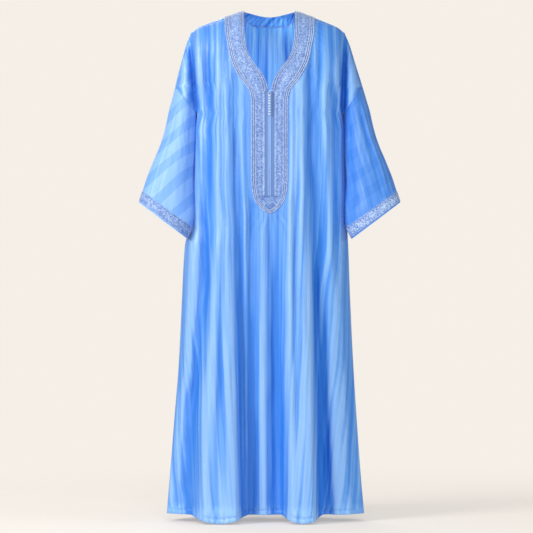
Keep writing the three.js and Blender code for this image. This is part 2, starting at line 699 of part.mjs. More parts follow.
/** Extrudes an outline drawn in (y, z) across x, centred on x = 0. */
function acrossX(shape, width, segments) {
  const geometry = new THREE.ExtrudeGeometry(shape, { depth: width, bevelEnabled: false, curveSegments: segments });
  geometry.translate(0, 0, -width / 2);
  // (x, y, z) of the drawing becomes (z, x, y)
  geometry.applyMatrix4(new THREE.Matrix4().set(0, 0, 1, 0, 1, 0, 0, 0, 0, 1, 0, 0, 0, 0, 0, 1));
  return geometry;
}

/** The slider's side view: a plate along the zip with a bail in front, round the eye at the origin. */
function sliderGeometry(plateY) {
  const { eye, bail, plate, height, width } = SLIDER;
  const reach = eye + bail;
  const shape = new THREE.Shape();
  shape.moveTo(plateY, -height / 2);
  shape.lineTo(plateY, height / 2);
  shape.lineTo(plateY - plate, height / 2);
  shape.lineTo(plateY - plate, reach);
  shape.lineTo(0, reach);
  shape.absarc(0, 0, reach, Math.PI / 2, (3 * Math.PI) / 2, false);
  shape.lineTo(plateY - plate, -reach);
  shape.lineTo(plateY - plate, -height / 2);
  shape.closePath();
  shape.holes.push(new THREE.Path().absarc(0, 0, eye, 0, 2 * Math.PI, true));
  return acrossX(shape, width, 8);
}

/** The pull hangs from the origin: a wire loop through the slider's eye and the stack of balls. */
function pullGeometry() {
  const { wire, inside, drop } = LOOP;
  const half = wire / 2;
  const outline = new THREE.Shape();
  outline.moveTo(-inside / 2 - wire, half);
  outline.lineTo(-inside / 2 - wire, -drop);
  outline.lineTo(inside / 2 + wire, -drop);
  outline.lineTo(inside / 2 + wire, half);
  outline.closePath();
  const window = new THREE.Path();
  window.moveTo(-inside / 2, -half);
  window.lineTo(inside / 2, -half);
  window.lineTo(inside / 2, -drop + wire);
  window.lineTo(-inside / 2, -drop + wire);
  window.closePath();
  outline.holes.push(window);
  const loop = new THREE.ExtrudeGeometry(outline, { depth: wire, bevelEnabled: false });
  loop.rotateX(Math.PI / 2);
  loop.translate(0, half, 0);

  const { count, radius, pitch, squash, rimSteps, sides } = BALLS;
  const profile = [];
  for (let ball = count - 1; ball >= 0; ball--) {
    const middle = -ball * pitch;
    const reach = Math.asin(pitch / 2 / squash);
    const from = ball === count - 1 ? -Math.PI / 2 : -reach;
    const to = ball === 0 ? Math.PI / 2 : reach;
    for (let i = 0; i <= rimSteps; i++) {
      if (i === 0 && ball < count - 1) continue;
      const a = lerp(from, to, i / rimSteps);
      profile.push(new THREE.Vector2(Math.max(0, radius * Math.cos(a)), middle + squash * Math.sin(a)));
    }
  }
  profile[0].x = 0;
  profile[profile.length - 1].x = 0;
  const balls = new THREE.LatheGeometry(profile, sides);
  balls.rotateX(Math.PI / 2);
  balls.translate(0, 0, -drop - squash + wire);
  return geometryOf(solidOf(loop).add(solidOf(balls)));
}

// ---------------------------------------------------------------- the robe

const material = (color, roughness, metalness = 0) =>
  new THREE.MeshStandardMaterial({ color, roughness, metalness });
const satin = material(0x78aef5, 0.35);
const satinInside = material(0x8ab8f5, 0.4);
const embroidery = material(0xa3b6e6, 0.75);
const braid = material(0xb4c2ea, 0.6);
const tape = material(0x6a8acb, 0.7);
const beadGlass = material(0xc4dbfa, 0.2);
const enamel = material(0x86a6dc, 0.35, 0.3);

const sleeves = { right: sleeveSheet(-1), left: sleeveSheet(1) };
const robe = new THREE.Group();

function add(name, geometry, finish) {
  const mesh = new THREE.Mesh(geometry, finish);
  mesh.name = name;
  robe.add(mesh);
  return mesh;
}

const BASE = SEAM_GAP; // what lies on a panel starts this far above it
add("front_panel", body.wall("front_panel", -WALL, 0), satin);
add("back_panel", body.wall("back_panel", -WALL, 0), satin);
add("back_neck_band", body.wall("back_neck_band", -WALL, 0), satinInside);
add("neck_band", body.wall("neck_band", BASE, BAND_TOP), embroidery);
add("braid_outer", body.wall("braid_outer", BASE, BRAID_TOP), braid);
for (const [name, sleeve] of Object.entries(sleeves)) {
  add("sleeve_" + name, sleeve.wall("sleeve", -WALL, 0), satin);
  add("cuff_trim_" + name, sleeve.wall("cuff_trim", BASE, CUFF_TOP), embroidery);
  add("braid_inner_" + name, body.wall("braid_inner_" + name, BASE, BRAID_TOP), braid);
  add("zip_tape_" + name, body.wall("zip_tape_" + name, BASE, TAPE_TOP), tape);
}

const eyeZ = SLIDER.topZ - SLIDER.height / 2;
const pullLength = LOOP.drop + BALLS.pitch * BALLS.count;
const farthestY = Math.min(frontY(0, eyeZ), frontY(0, eyeZ - pullLength));
const eyeY = farthestY - TAPE_TOP - BALLS.radius - BALL_CLEARANCE;
const seatY = Math.min(frontY(0, SLIDER.topZ), frontY(0, SLIDER.topZ - SLIDER.height));
const plateY = seatY - TAPE_TOP - 2 * SEAM_GAP - eyeY;
add("zip_slider", sliderGeometry(plateY), enamel).position.set(0, eyeY, eyeZ);
add("zip_pull", pullGeometry(), beadGlass).position.set(0, eyeY, eyeZ);

export default robe;
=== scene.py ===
"""Dresses a satin gandoura: thin cloth on the solids' form, embroidered band, braids, zip and sewing.

Lengths are in millimetres until a mesh is made, which is in metres. The wearer's right is at -X.
"""

import logging
import math
from dataclasses import dataclass, field
from enum import Enum
import bpy
import numpy as np
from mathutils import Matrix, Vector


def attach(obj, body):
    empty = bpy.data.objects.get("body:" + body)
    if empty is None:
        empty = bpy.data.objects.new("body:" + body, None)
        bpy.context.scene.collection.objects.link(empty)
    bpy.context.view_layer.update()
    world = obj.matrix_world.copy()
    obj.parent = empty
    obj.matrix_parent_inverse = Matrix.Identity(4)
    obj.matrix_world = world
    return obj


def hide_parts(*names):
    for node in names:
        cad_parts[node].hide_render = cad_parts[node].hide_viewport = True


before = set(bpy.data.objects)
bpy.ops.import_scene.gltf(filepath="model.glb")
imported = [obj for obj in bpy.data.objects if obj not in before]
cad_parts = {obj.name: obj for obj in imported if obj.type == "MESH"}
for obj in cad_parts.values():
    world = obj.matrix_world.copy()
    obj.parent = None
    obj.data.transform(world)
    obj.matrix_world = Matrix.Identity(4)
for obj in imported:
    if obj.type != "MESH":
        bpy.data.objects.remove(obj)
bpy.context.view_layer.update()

LOG = logging.getLogger("gandoura")
MM = 0.001


# ---------------------------------------------------------------- curves


def clamp01(value: np.ndarray) -> np.ndarray:
    """Limits values to 0..1."""
    return np.clip(value, 0.0, 1.0)


def smooth(value: np.ndarray) -> np.ndarray:
    """Rises from 0 to 1 with level ends: 3v^2 - 2v^3."""
    v = clamp01(value)
    return v * v * (3 - 2 * v)


def lerp(a, b, share):
    """Goes from a to b by a share."""
    return a + (b - a) * share


@dataclass(frozen=True)
class Line:
    """A smooth line through the rows of a table: a monotone cubic, which never swings past them."""

    at: tuple[float, ...]
    value: tuple[float, ...]

    def __call__(self, place) -> np.ndarray:
        """Reads the line.

        Args:
            place: where to read it; outside the table it keeps its end value.

        Returns:
            The values, in the shape of place.
        """
        order = np.argsort(self.at)
        at = np.array(self.at, float)[order]
        val = np.array(self.value, float)[order]
        rise = np.diff(val) / np.diff(at)
        before, after = rise[:-1], rise[1:]
        total = np.where(before + after == 0, 1.0, before + after)
        inner = np.where(before * after > 0, 2 * before * after / total, 0.0)
        slope = np.concatenate([rise[:1], inner, rise[-1:]])
        q = np.clip(place, at[0], at[-1])
        i = np.clip(np.searchsorted(at, q, side="right") - 1, 0, len(at) - 2)
        step = at[i + 1] - at[i]
        t = (q - at[i]) / step
        start = (1 + 2 * t) * (1 - t) ** 2 * val[i] + t * (1 - t) ** 2 * step * slope[i]
        return start + t * t * (3 - 2 * t) * val[i + 1] + t * t * (t - 1) * step * slope[i + 1]


def table(columns: str, *rows: tuple[float, ...]) -> dict[str, tuple[float, ...]]:
    """Names the columns of a table.

    Args:
        columns: the names, apart by spaces.
        rows: one tuple for each row.

    Returns:
        Each column's values by its name.
    """
    return dict(zip(columns.split(), zip(*rows)))


def line(rows: dict[str, tuple[float, ...]], along: str, value: str) -> Line:
    """Makes the line of one column of a table against another."""
    return Line(rows[along], rows[value])


# ---------------------------------------------------------------- the robe's form


class Face(Enum):
    """The two halves of the body's cloth."""

    FRONT = "front"
    BACK = "back"


@dataclass(frozen=True)
class Roll:
    """A roll of cloth between two lines that run from the chest to the hem."""

    left: tuple[float, float]
    right: tuple[float, float]
    softness: tuple[float, float]
    height: tuple[float, float]


@dataclass(frozen=True)
class Crease:
    """A soft uneven ridge, or a trough where its height is negative, from one place down to another."""

    x_top: float
    z_top: float
    x_low: float
    z_low: float
    width: float
    height: float
    bow: float = 0.0

    def lift(self, x: np.ndarray, z: np.ndarray) -> np.ndarray:
        """The lift at a place: a bell across the crease, faded at both its ends and a little uneven."""
        down = (self.z_top - z) / (self.z_top - self.z_low)
        t = clamp01(down)
        middle = lerp(self.x_top, self.x_low, t) + self.bow * 4 * t * (1 - t)
        middle = middle + 0.12 * self.width * np.sin(z / 37.0 + self.x_top)
        bell = np.exp(-(((x - middle) / (self.width * lerp(0.75, 1.2, t))) ** 2))
        ends = smooth((down + 0.2) / 0.45) * smooth((1.2 - down) / 0.45)
        uneven = 1 + 0.22 * np.sin(z / 61.0 + 2.3 * self.x_low) + 0.1 * np.sin(z / 23.0 + self.x_top)
        return self.height * bell * ends * uneven


OUTER = table("z x", (-58, 219), (-80, 226), (-103, 233), (-136, 242.5), (-179, 255), (-212, 264),
              (-263, 277), (-348, 300), (-432, 328), (-538, 366))
SHOULDER = table("x z", (0, 0), (71, 0), (110, -12), (172, -35), (200, -46), (219, -58), (320, -110))
SECTIONS = table(
    "z half front back shift",
    (0, 216, 92, 110, 0),
    (-58, 215, 94, 110, -5),
    (-150, 212, 97, 110, -4),
    (-290, 206, 104, 109, 0),
    (-340, 212, 105, 108, 0),
    (-450, 217, 107, 107, 0),
    (-600, 222, 104, 106, -3),
    (-660, 230, 102, 106, -8.5),
    (-812, 237, 98, 106, -10),
    (-981, 245, 88, 105, -10),
    (-1150, 257, 76, 103, -11.5),
    (-1319, 270, 64, 101, -12),
    (-1412, 278, 58, 100, -11.5),
)
ARM_INNER = table("z x", (-290, 206), (-212, 160), (-58, 84))
ARM_FOLD = table("z x depth", (-290, 206, 0), (-262, 207, 20), (-200, 209, 26), (-140, 213, 20),
                 (-90, 217, 8), (-60, 219, 0))
NECK = table(
    "z edge tape braid field outer",
    (0, 71, 74, 82, 113, 127),
    (-63, 70, 73, 81, 110, 124),
    (-108, 64, 67, 75, 102, 116),
    (-141, 50, 53.5, 62, 94, 109),
    (-168, 30, 35, 44, 82, 98),
    (-191, 14.5, 20.5, 30, 68, 85),
    (-211, 6.5, 15.5, 24, 53, 69),
    (-229, 3, 14, 20, 42, 57),
    (-265, 3, 14, 18, 37, 51),
    (-476, 3, 14, 18, 37, 51),
    (-500, 3, 14, 18, 35.5, 49.5),
    (-522, 3, 14, 18, 32, 45.5),
    (-545, 2.5, 7, 10.5, 19, 33),
    (-556, 2, 3.6, 5.2, 9.5, 22),
    (-564, 1.5, 2.6, 3.8, 5, 13),
    (-570, 1, 1.9, 2.8, 3.7, 4),
)
SLEEVE_INNER = table("z x", (-290, 206), (-450, 209), (-600, 214), (-641, 229))
SLEEVE = table("at axis front back", (0, 0, 52, 50), (0.4, -24, 50, 50), (1, -56, 54, 52))

FRONT_ROLLS = (
    Roll((-212, -262), (-180, -222), (16, 24), (9, 10)),
    Roll((-166, -205), (-95, -81), (56, 26), (7, 80)),
    Roll((-44, -36), (-2, 2), (26, 26), (2, 9)),
    Roll((36, 48), (112, 132), (40, 26), (8, 78)),
    Roll((146, 176), (192, 236), (26, 34), (8, 16)),
)
BACK_ROLLS = (
    Roll((-196, -250), (-164, -196), (24, 30), (6, 22)),
    Roll((-132, -158), (-92, -104), (26, 30), (7, 34)),
    Roll((-52, -62), (-20, -14), (20, 26), (5, 28)),
    Roll((14, 30), (50, 72), (20, 26), (5, 24)),
    Roll((84, 106), (126, 160), (26, 30), (7, 36)),
    Roll((166, 198), (198, 244), (24, 32), (5, 20)),
)

# The finer creases of the front, from the wearer's right to the left.
FRONT_CREASES = (
    Crease(-199, -90, -226, -900, 9, 3.4),
    Crease(-174, -60, -176, -900, 14, -5.6, bow=-3),
    Crease(-172, -640, -254, -1410, 20, -10.5, bow=7),
    Crease(-146, -60, -146, -1000, 10, 4.0, bow=4),
    Crease(-134, -140, -140, -620, 5, -2.2),
    Crease(-120, -90, -128, -1100, 9, 4.0, bow=5),
    Crease(-101, -60, -78, -1410, 7, -5.0, bow=-3),
    Crease(-54, -300, -42, -1400, 10, -3.6, bow=4),
    Crease(-84, -250, -66, -820, 7, 1.8),
    Crease(-72, -330, -65, -1400, 6, 3.6, bow=2),
    Crease(-150, -700, -186, -1400, 9, 3.0),
    Crease(-128, -640, -150, -1400, 7, -3.4),
    Crease(-112, -760, -112, -1400, 9, 3.2),
    Crease(-20, -580, -14, -1380, 10, 3.0, bow=-4),
    Crease(4, -600, 16, -1400, 12, -4.4, bow=3),
    Crease(36, -590, 30, -1300, 8, 2.2, bow=4),
    Crease(56, -90, 50, -1380, 9, 3.4, bow=3),
    Crease(68, -380, 82, -1400, 6, -2.6, bow=-4),
    Crease(84, -90, 100, -1400, 9, 3.4, bow=3),
    Crease(110, -70, 132, -900, 9, -5.6, bow=-5),
    Crease(124, -760, 170, -1410, 10, -6.0, bow=-4),
    Crease(128, -120, 160, -900, 6, 1.8),
    Crease(150, -90, 178, -760, 10, 3.8, bow=-5),
    Crease(174, -130, 196, -820, 7, -2.8),
    Crease(192, -100, 222, -1200, 9, 3.0, bow=-4),
    Crease(206, -700, 232, -1400, 8, -2.8),
    Crease(154, -860, 162, -1400, 7, -3.2),
    Crease(-214, -640, -246, -1380, 7, -2.2),
    # pulls under the shoulder seams
    Crease(-116, -30, -142, -260, 9, 1.4),
    Crease(-190, -60, -188, -330, 7, -1.6),
    Crease(114, -30, 138, -280, 9, 1.4),
    Crease(188, -60, 186, -340, 7, -1.8),
)
BACK_CREASES = (
    Crease(-198, -90, -228, -900, 9, 3.2),
    Crease(-176, -110, -190, -760, 9, -3.0, bow=4),
    Crease(-148, -80, -176, -1300, 9, 3.2, bow=-5),
    Crease(-112, -120, -130, -1380, 7, -3.0),
    Crease(-80, -220, -84, -1380, 9, 3.0, bow=6),
    Crease(-58, -240, -40, -1100, 6, -2.6),
    Crease(-34, -200, -32, -1400, 8, 3.0, bow=-4),
    Crease(-2, -180, 8, -1380, 7, -3.2, bow=3),
    Crease(26, -260, 44, -1400, 8, 2.8),
    Crease(62, -210, 84, -1380, 7, -3.0, bow=-4),
    Crease(96, -130, 118, -1300, 8, 3.2, bow=4),
    Crease(126, -100, 146, -900, 6, -2.8),
    Crease(152, -90, 184, -1380, 9, 3.2, bow=-4),
    Crease(180, -110, 214, -1000, 8, -3.0),
    Crease(198, -100, 226, -1200, 8, 2.6),
)


@dataclass(frozen=True)
class RobeForm:
    """The cloth's surface as a depth in front of and behind the robe's middle plane, worked out from tables."""

    corner: tuple[float, float] = (219.0, -58.0)  # x and z where the shoulder line turns down the arm
    drop_seam: tuple[float, float] = (264.0, -212.0)  # outer end of the sleeve seam
    armpit: tuple[float, float] = (206.0, -290.0)
    cuff_z: float = -538.0
    hem_z: float = -1412.0
    lobe_drop: float = 19.0
    lobes: tuple[tuple[float, float], ...] = ((-140.0, 80.0), (92.0, 58.0))  # middle and half width at the hem
    shoulder_drop: float = 110.0
    corner_ease: float = 3.6  # how far the shoulders' corners are drawn in
    neck_half: float = 71.0
    neck_back: float = 80.0
    back_rise: float = 0.0
    back_band_reach: float = 102.0
    forward_seam: float = 8.0
    seam_join: float = 192.0
    chest_z: float = -230.0
    slit_end: float = -522.0
    placket_tip: float = -571.5
    gathers: tuple[int, float, float, float, float] = (9, 62.0, 3.2, -25.0, -250.0)
    edge_steps: tuple[float, ...] = (0, 0.06, 0.14, 0.25, 0.38, 0.53, 0.68, 0.84, 1)
    front_steps: tuple[float, ...] = (0, 0.09, 0.19, 0.3, 0.42, 0.55, 0.69, 0.84, 1)
    back_steps: tuple[float, ...] = (0, 0, 0, 0.1, 0.24, 0.4, 0.58, 0.79, 1)
    outer: Line = line(OUTER, "z", "x")
    shoulder: Line = line(SHOULDER, "x", "z")
    half: Line = line(SECTIONS, "z", "half")
    shift: Line = line(SECTIONS, "z", "shift")
    arm_inner: Line = line(ARM_INNER, "z", "x")
    fold_x: Line = line(ARM_FOLD, "z", "x")
    fold_depth: Line = line(ARM_FOLD, "z", "depth")

    # ---- the surface

    def reach(self, x: np.ndarray) -> np.ndarray:
        """The distance out along the shoulders, which hang a little to one side at their corners."""
        lean = smooth((np.abs(x) - self.neck_half) / (self.corner[0] - self.neck_half))
        return np.abs(x - self.shift(self.corner[1]) * lean)

    def top(self, face: Face, x: np.ndarray) -> np.ndarray:
        """The height of the shoulder line; the back neck stands a little above the neck points."""
        z = self.shoulder(self.reach(x))
        rise = self.back_rise * clamp01(1 - (x / self.neck_half) ** 2)
        return z + rise if face is Face.BACK else z

    def body_and_arm(self, face: Face, x: np.ndarray, z: np.ndarray) -> np.ndarray:
        """The depth of the body, a superellipse, joined over the armpit with the arm's ellipse."""
        own = np.abs(x - self.shift(z))
        depth = line(SECTIONS, "z", face.value)(z)
        body = depth * np.maximum(0, 1 - (own / self.half(z)) ** 2.5) ** (1 / 2.5)
        outer, inner = self.outer(z), self.arm_inner(z)
        across = (own - (outer + inner) / 2) / ((outer - inner) / 2)
        arm_depth = 54.0 if face is Face.FRONT else 52.0
        arm = arm_depth * np.sqrt(np.maximum(0, 1 - across**2))
        return np.where(z <= self.armpit[1], body, (body**4 + arm**4) ** 0.25)

    def arm_fold(self, x: np.ndarray, z: np.ndarray) -> np.ndarray:
        """The deep fold between body and arm: a bell, steeper on the body's side."""
        off = np.abs(x - self.shift(z)) - self.fold_x(z)
        return self.fold_depth(z) * np.exp(-((off / np.where(off < 0, 10.0, 16.0)) ** 2))

    def arm_crease(self, x: np.ndarray, z: np.ndarray) -> np.ndarray:
        """The sharp line at the bottom of the arm's fold, in front."""
        off = np.abs(x - self.shift(z)) - self.fold_x(z) - 1.5
        length = smooth((z + 300) / 30) * smooth((-70 - z) / 50)
        return length * (11.0 * np.exp(-((off / 5.0) ** 2)) - 3.0 * np.exp(-(((off - 16) / 9.0) ** 2)))

    def rolls(self, rolls: tuple[Roll, ...], x: np.ndarray, z: np.ndarray) -> np.ndarray:
        """The height of all the rolls at a place, each a plateau with soft sides that grows to the hem."""
        down = clamp01((self.chest_z - z) / (self.chest_z - self.hem_z))
        start = smooth((-50.0 - z) / (-50.0 - self.chest_z))
        total = np.zeros(np.broadcast(x, z).shape)
        for roll in rolls:
            left, right = lerp(*roll.left, down), lerp(*roll.right, down)
            shape = smooth((x - left) / roll.softness[0] + 0.5) * smooth((right - x) / roll.softness[1] + 0.5)
            total += lerp(*roll.height, down**1.7) * shape
        return start * total

    def side_fade(self, x: np.ndarray, z: np.ndarray) -> np.ndarray:
        """Folds flatten towards the sides, where front and back meet."""
        limit = np.where(z > self.armpit[1], self.outer(z), self.half(z))
        return clamp01(1.6 * (1 - (np.abs(x - self.shift(z)) / limit) ** 8))

    def ripples(self, x: np.ndarray, z: np.ndarray) -> np.ndarray:
        """Shallow uneven waves that run down the cloth: a sum of slow sines that drift sideways."""
        grow = 0.6 + 0.5 * clamp01(-z / 1400.0)
        waves = (
            0.55 * np.sin(x / 6.1 + 1.3 * np.sin(z / 210.0))
            + 0.5 * np.sin(x / 9.7 + 1.7 * np.sin(z / 330.0 + 1.0) + 2.0)
            + 0.3 * np.sin(x / 4.3 + 2.1 * np.sin(z / 150.0 + 2.2))
        )
        return grow * waves

    def crumple(self, x: np.ndarray, z: np.ndarray) -> np.ndarray:
        """Small slanting crinkles of the thin cloth, strongest at the hem and along the side seams."""
        side = smooth((np.abs(x - self.shift(z)) - 0.72 * self.half(z)) / 60.0)
        hem = smooth((z + 1330.0) / -90.0)
        slant = x + 0.45 * z
        waves = np.sin(slant / 7.3 + 1.9 * np.sin(x / 41.0)) * np.sin(z / 11.0 + 2.0 * np.sin(x / 29.0 + z / 53.0))
        return (0.12 + 0.6 * side + 0.5 * hem) * waves

    def calm(self, x: np.ndarray, z: np.ndarray) -> np.ndarray:
        """0 under the stiff embroidered band, rising to 1 a finger's width away from it."""
        outer = line(NECK, "z", "outer")(z)
        inside = np.where(z < self.placket_tip, 0.0, outer)
        off = np.maximum(np.abs(x) - inside, 0.0)
        below = np.maximum(self.placket_tip - z, 0.0)
        return smooth((np.hypot(off, np.where(np.abs(x) < 60, below, 0.0)) - 1.0) / 16.0)

    def band_gathers(self, x: np.ndarray, z: np.ndarray) -> np.ndarray:
        """Little pleats that fan out from the edge of the embroidered band."""
        outer = line(NECK, "z", "outer")(z)
        off = np.abs(x) - outer
        near = np.exp(-((np.maximum(off, 0) / 26.0) ** 2)) * smooth(off / 3.0)
        beside = near * np.sin((z + 0.7 * off) / 2.6) * smooth((z + 560) / 40) * (0.35 + 0.65 * smooth((-z - 80) / -60))
        low = self.placket_tip - z
        angle = np.arctan2(x, low + 40.0)
        under = np.exp(-((low / 48.0) ** 2)) * smooth(low / 4.0) * np.exp(-((x / 46.0) ** 2)) * np.sin(angle * 26.0)
        return 1.3 * beside + 1.7 * np.where(low > 0, under, 0.0)

    def hem_work(self, z: np.ndarray, x: np.ndarray) -> np.ndarray:
        """The turned hem: a little thicker below its sewing line, with the dip and puckers of the stitches."""
        up = z - self.hem_z
        wave = np.sin(x / 2.6 + 1.9 * np.sin(x / 19.0)) + 0.6 * np.sin(x / 4.1 + 2.0 * np.sin(x / 31.0) + up / 9.0)
        pucker = wave * np.exp(-(((up - 15.0) / 11.0) ** 2))
        return 0.8 * smooth((13.0 - up) / 2.0) - 2.2 * np.exp(-(((up - 13.0) / 2.2) ** 2)) + 1.3 * pucker

    def detail(self, face: Face, x: np.ndarray, z: np.ndarray) -> np.ndarray:
        """All the finer form of one face, which the solids leave out."""
        creases = FRONT_CREASES if face is Face.FRONT else BACK_CREASES
        total = self.ripples(x if face is Face.FRONT else -x + 31.0, z) + self.crumple(x, z)
        for crease in creases:
            total = total + 1.5 * crease.lift(x, z)
        if face is Face.FRONT:
            total = total * self.calm(x, z) + self.band_gathers(x, z)
        return total + self.hem_work(z, x)

    def y(self, face: Face, x: np.ndarray, z: np.ndarray) -> np.ndarray:
        """The cloth's surface: depth, less the arm's fold, plus rolls and creases, rounded at the shoulders."""
        x, z = np.broadcast_arrays(np.asarray(x, float), np.asarray(z, float))
        share = clamp01((self.top(face, x) - z) / self.shoulder_drop)
        depth = self.body_and_arm(face, x, z)
        fade = self.side_fade(x, z)
        fine = self.detail(face, x, z) * fade * smooth(share / 0.22)
        if face is Face.FRONT:
            lift = self.rolls(FRONT_ROLLS, x, z)
            folded = depth - np.minimum(self.arm_fold(x, z), 0.62 * depth) + lift * fade
            return -folded * self.round_off(share, 2.2) - fine + self.arm_crease(x, z)
        count, half, height, start, end = self.gathers
        across = clamp01(1 - (np.abs(x) / (half + 12)) ** 4)
        gathers = height * across * smooth((z - end) / (start - end)) * np.cos(np.pi * count * x / half)
        lift = self.rolls(BACK_ROLLS, x, z) + gathers
        folded = depth - np.minimum(0.5 * self.arm_fold(x, z), 0.5 * depth) + lift * fade
        power = lerp(4.0, 2.4, smooth((np.abs(x) - 80) / 110))
        return folded * self.round_off(share, power) + fine

    @staticmethod
    def round_off(share: np.ndarray, power) -> np.ndarray:
        """How far out the shoulders' rounding lets the cloth stand, a share below the shoulder line."""
        return (1 - (1 - share) ** power) ** (1 / power)

    def hem_drop(self, x: np.ndarray, z: np.ndarray) -> np.ndarray:
        """The hem hangs lower where the cloth stands out in front."""
        low = smooth((z - self.hem_z - 120) / -120)
        drop = np.zeros_like(x)
        for middle, reach in self.lobes:
            drop = drop + clamp01(1 - ((x - middle) / reach) ** 2)
        return self.lobe_drop * low * drop

    # ---- rows, counted as in the solids: 0 shoulder seam, 8 sleeve seam's end, 15 armpit, 16 below it

    def edge(self, row: np.ndarray) -> tuple[np.ndarray, np.ndarray]:
        """Where a row meets the edge of its panel, as distance out and height; past 15 a row is 1 m long."""
        corner_z, seam_z = self.corner[1], self.drop_seam[1]
        top_z = corner_z + (seam_z - corner_z) * np.interp(row, range(9), self.edge_steps)
        t = clamp01((row - 8) / 7)
        seam_x, armpit_z = lerp(self.drop_seam[0], self.armpit[0], t), lerp(seam_z, self.armpit[1], t)
        low_z = lerp(self.armpit[1], self.hem_z, clamp01(row - 15))
        z = np.where(row <= 8, top_z, np.where(row <= 15, armpit_z, low_z))
        x = np.where(row <= 8, self.outer(z), np.where(row <= 15, seam_x, self.half(z)))
        return x, z

    def height(self, face: Face, row: np.ndarray, x: np.ndarray) -> np.ndarray:
        """The height of a row at x: it follows the shoulder line at the top and levels out at the armpit."""
        row, x = np.broadcast_arrays(np.asarray(row, float), np.asarray(x, float))
        top_drop = (self.corner[1] - self.drop_seam[1]) / self.shoulder_drop
        full_drop = (self.corner[1] - self.armpit[1]) / self.shoulder_drop
        near = smooth((self.reach(x) - 150) / (self.corner[0] - 150))
        outer = top_drop * np.interp(row, range(9), self.edge_steps)
        if face is Face.FRONT:
            reach = self.reach(x)
            join = np.where(reach < self.seam_join, lerp(0.3, 1, smooth((self.seam_join - reach) / 60)), 0.0)
            seam = self.forward_seam / self.shoulder_drop * join
            inner = seam + (top_drop - seam) * np.interp(row, range(9), self.front_steps)
            ridge = seam * clamp01(row + 1) ** 2.2
            drop = np.where(row < 0, lerp(ridge, 0.0, near), lerp(inner, outer, near))
        else:
            start = self.back_start(np.minimum(row, 2.0), x)
            inner = start + (top_drop - start) * np.interp(row, range(9), self.back_steps)
            drop = lerp(inner, outer, near)
        drop = np.where(row <= 8, drop, (self.corner[1] - self.edge(row)[1]) / self.shoulder_drop)
        level = clamp01(drop / full_drop) ** 1.5
        line_z = np.maximum(self.top(face, x), self.corner[1])
        z = lerp(line_z, self.corner[1], level) - self.shoulder_drop * drop
        return np.where(row > 15, self.edge(row)[1], z)

    def back_start(self, row: np.ndarray, x: np.ndarray) -> np.ndarray:
        """How far below the shoulder line the first rows behind it lie, from how far back they lie."""
        inside = np.abs(x) < self.neck_half
        share = clamp01(np.abs(x) / self.neck_half)
        neck_y = np.where(inside, self.neck_back * np.sqrt(1 - share**2), 0.0)
        square = np.where(inside, (1 - share**6) ** (1 / 6), 0.0)
        y = lerp(neck_y, lerp(24.0, self.back_band_reach, square), row / 2)
        power = lerp(4.0, 2.4, smooth((np.abs(x) - 80) / 110))
        return 1 - (1 - (np.minimum(y, 110 * 0.98) / 110) ** power) ** (1 / power)

    def edge_x(self, row: np.ndarray, side: int) -> np.ndarray:
        """x of a row's end on one side."""
        x, z = self.edge(row)
        return self.shift(z) + side * x

    def points(self, face: Face, row: np.ndarray, x: np.ndarray) -> np.ndarray:
        """Points of the surface on rows, as an array whose last axis is x, y, z."""
        row, x = np.broadcast_arrays(np.asarray(row, float), np.asarray(x, float))
        z = self.height(face, row, x)
        y = self.y(face, x, z)
        if face is Face.FRONT:
            z = z - self.hem_drop(x, z)
        off_x = np.abs(x - self.shift(self.corner[1])) - self.corner[0]
        near = self.corner_ease * np.exp(-((off_x**2 + (z - self.corner[1]) ** 2) / 22.0**2))
        return np.stack([x - np.sign(x) * 0.7 * near, y, z - 0.7 * near], axis=-1)

    def neck_x(self, row: np.ndarray, name: str) -> np.ndarray:
        """x of a line of the neck table where a row crosses it, found by a few rounds of reading."""
        lane = line(NECK, "z", name)
        x = lane(self.height(Face.FRONT, row, np.zeros_like(row)))
        for _ in range(14):
            x = lane(self.height(Face.FRONT, row, x))
        return x

    def seam_point(self, side: int, angle: np.ndarray) -> np.ndarray:
        """A point of the sleeve seam: angle 0 is its outer end, pi the armpit; it goes down the front."""
        t = np.where(angle <= np.pi, angle / np.pi, 2 - angle / np.pi)
        z = lerp(self.drop_seam[1], self.armpit[1], t)
        x = self.shift(z) + side * lerp(self.drop_seam[0], self.armpit[0], t)
        y = np.where(angle <= np.pi, self.y(Face.FRONT, x, z), self.y(Face.BACK, x, z))
        return np.stack([x, y, z], axis=-1)


FORM = RobeForm()


# ---------------------------------------------------------------- meshes


def grid_normals(points: np.ndarray) -> np.ndarray:
    """Unit normals of a grid of points: the cross product of its two directions."""
    down = np.gradient(points, axis=0)
    across = np.gradient(points, axis=1)
    normal = np.cross(down, across)
    length = np.linalg.norm(normal, axis=-1, keepdims=True)
    return normal / np.maximum(length, 1e-9)


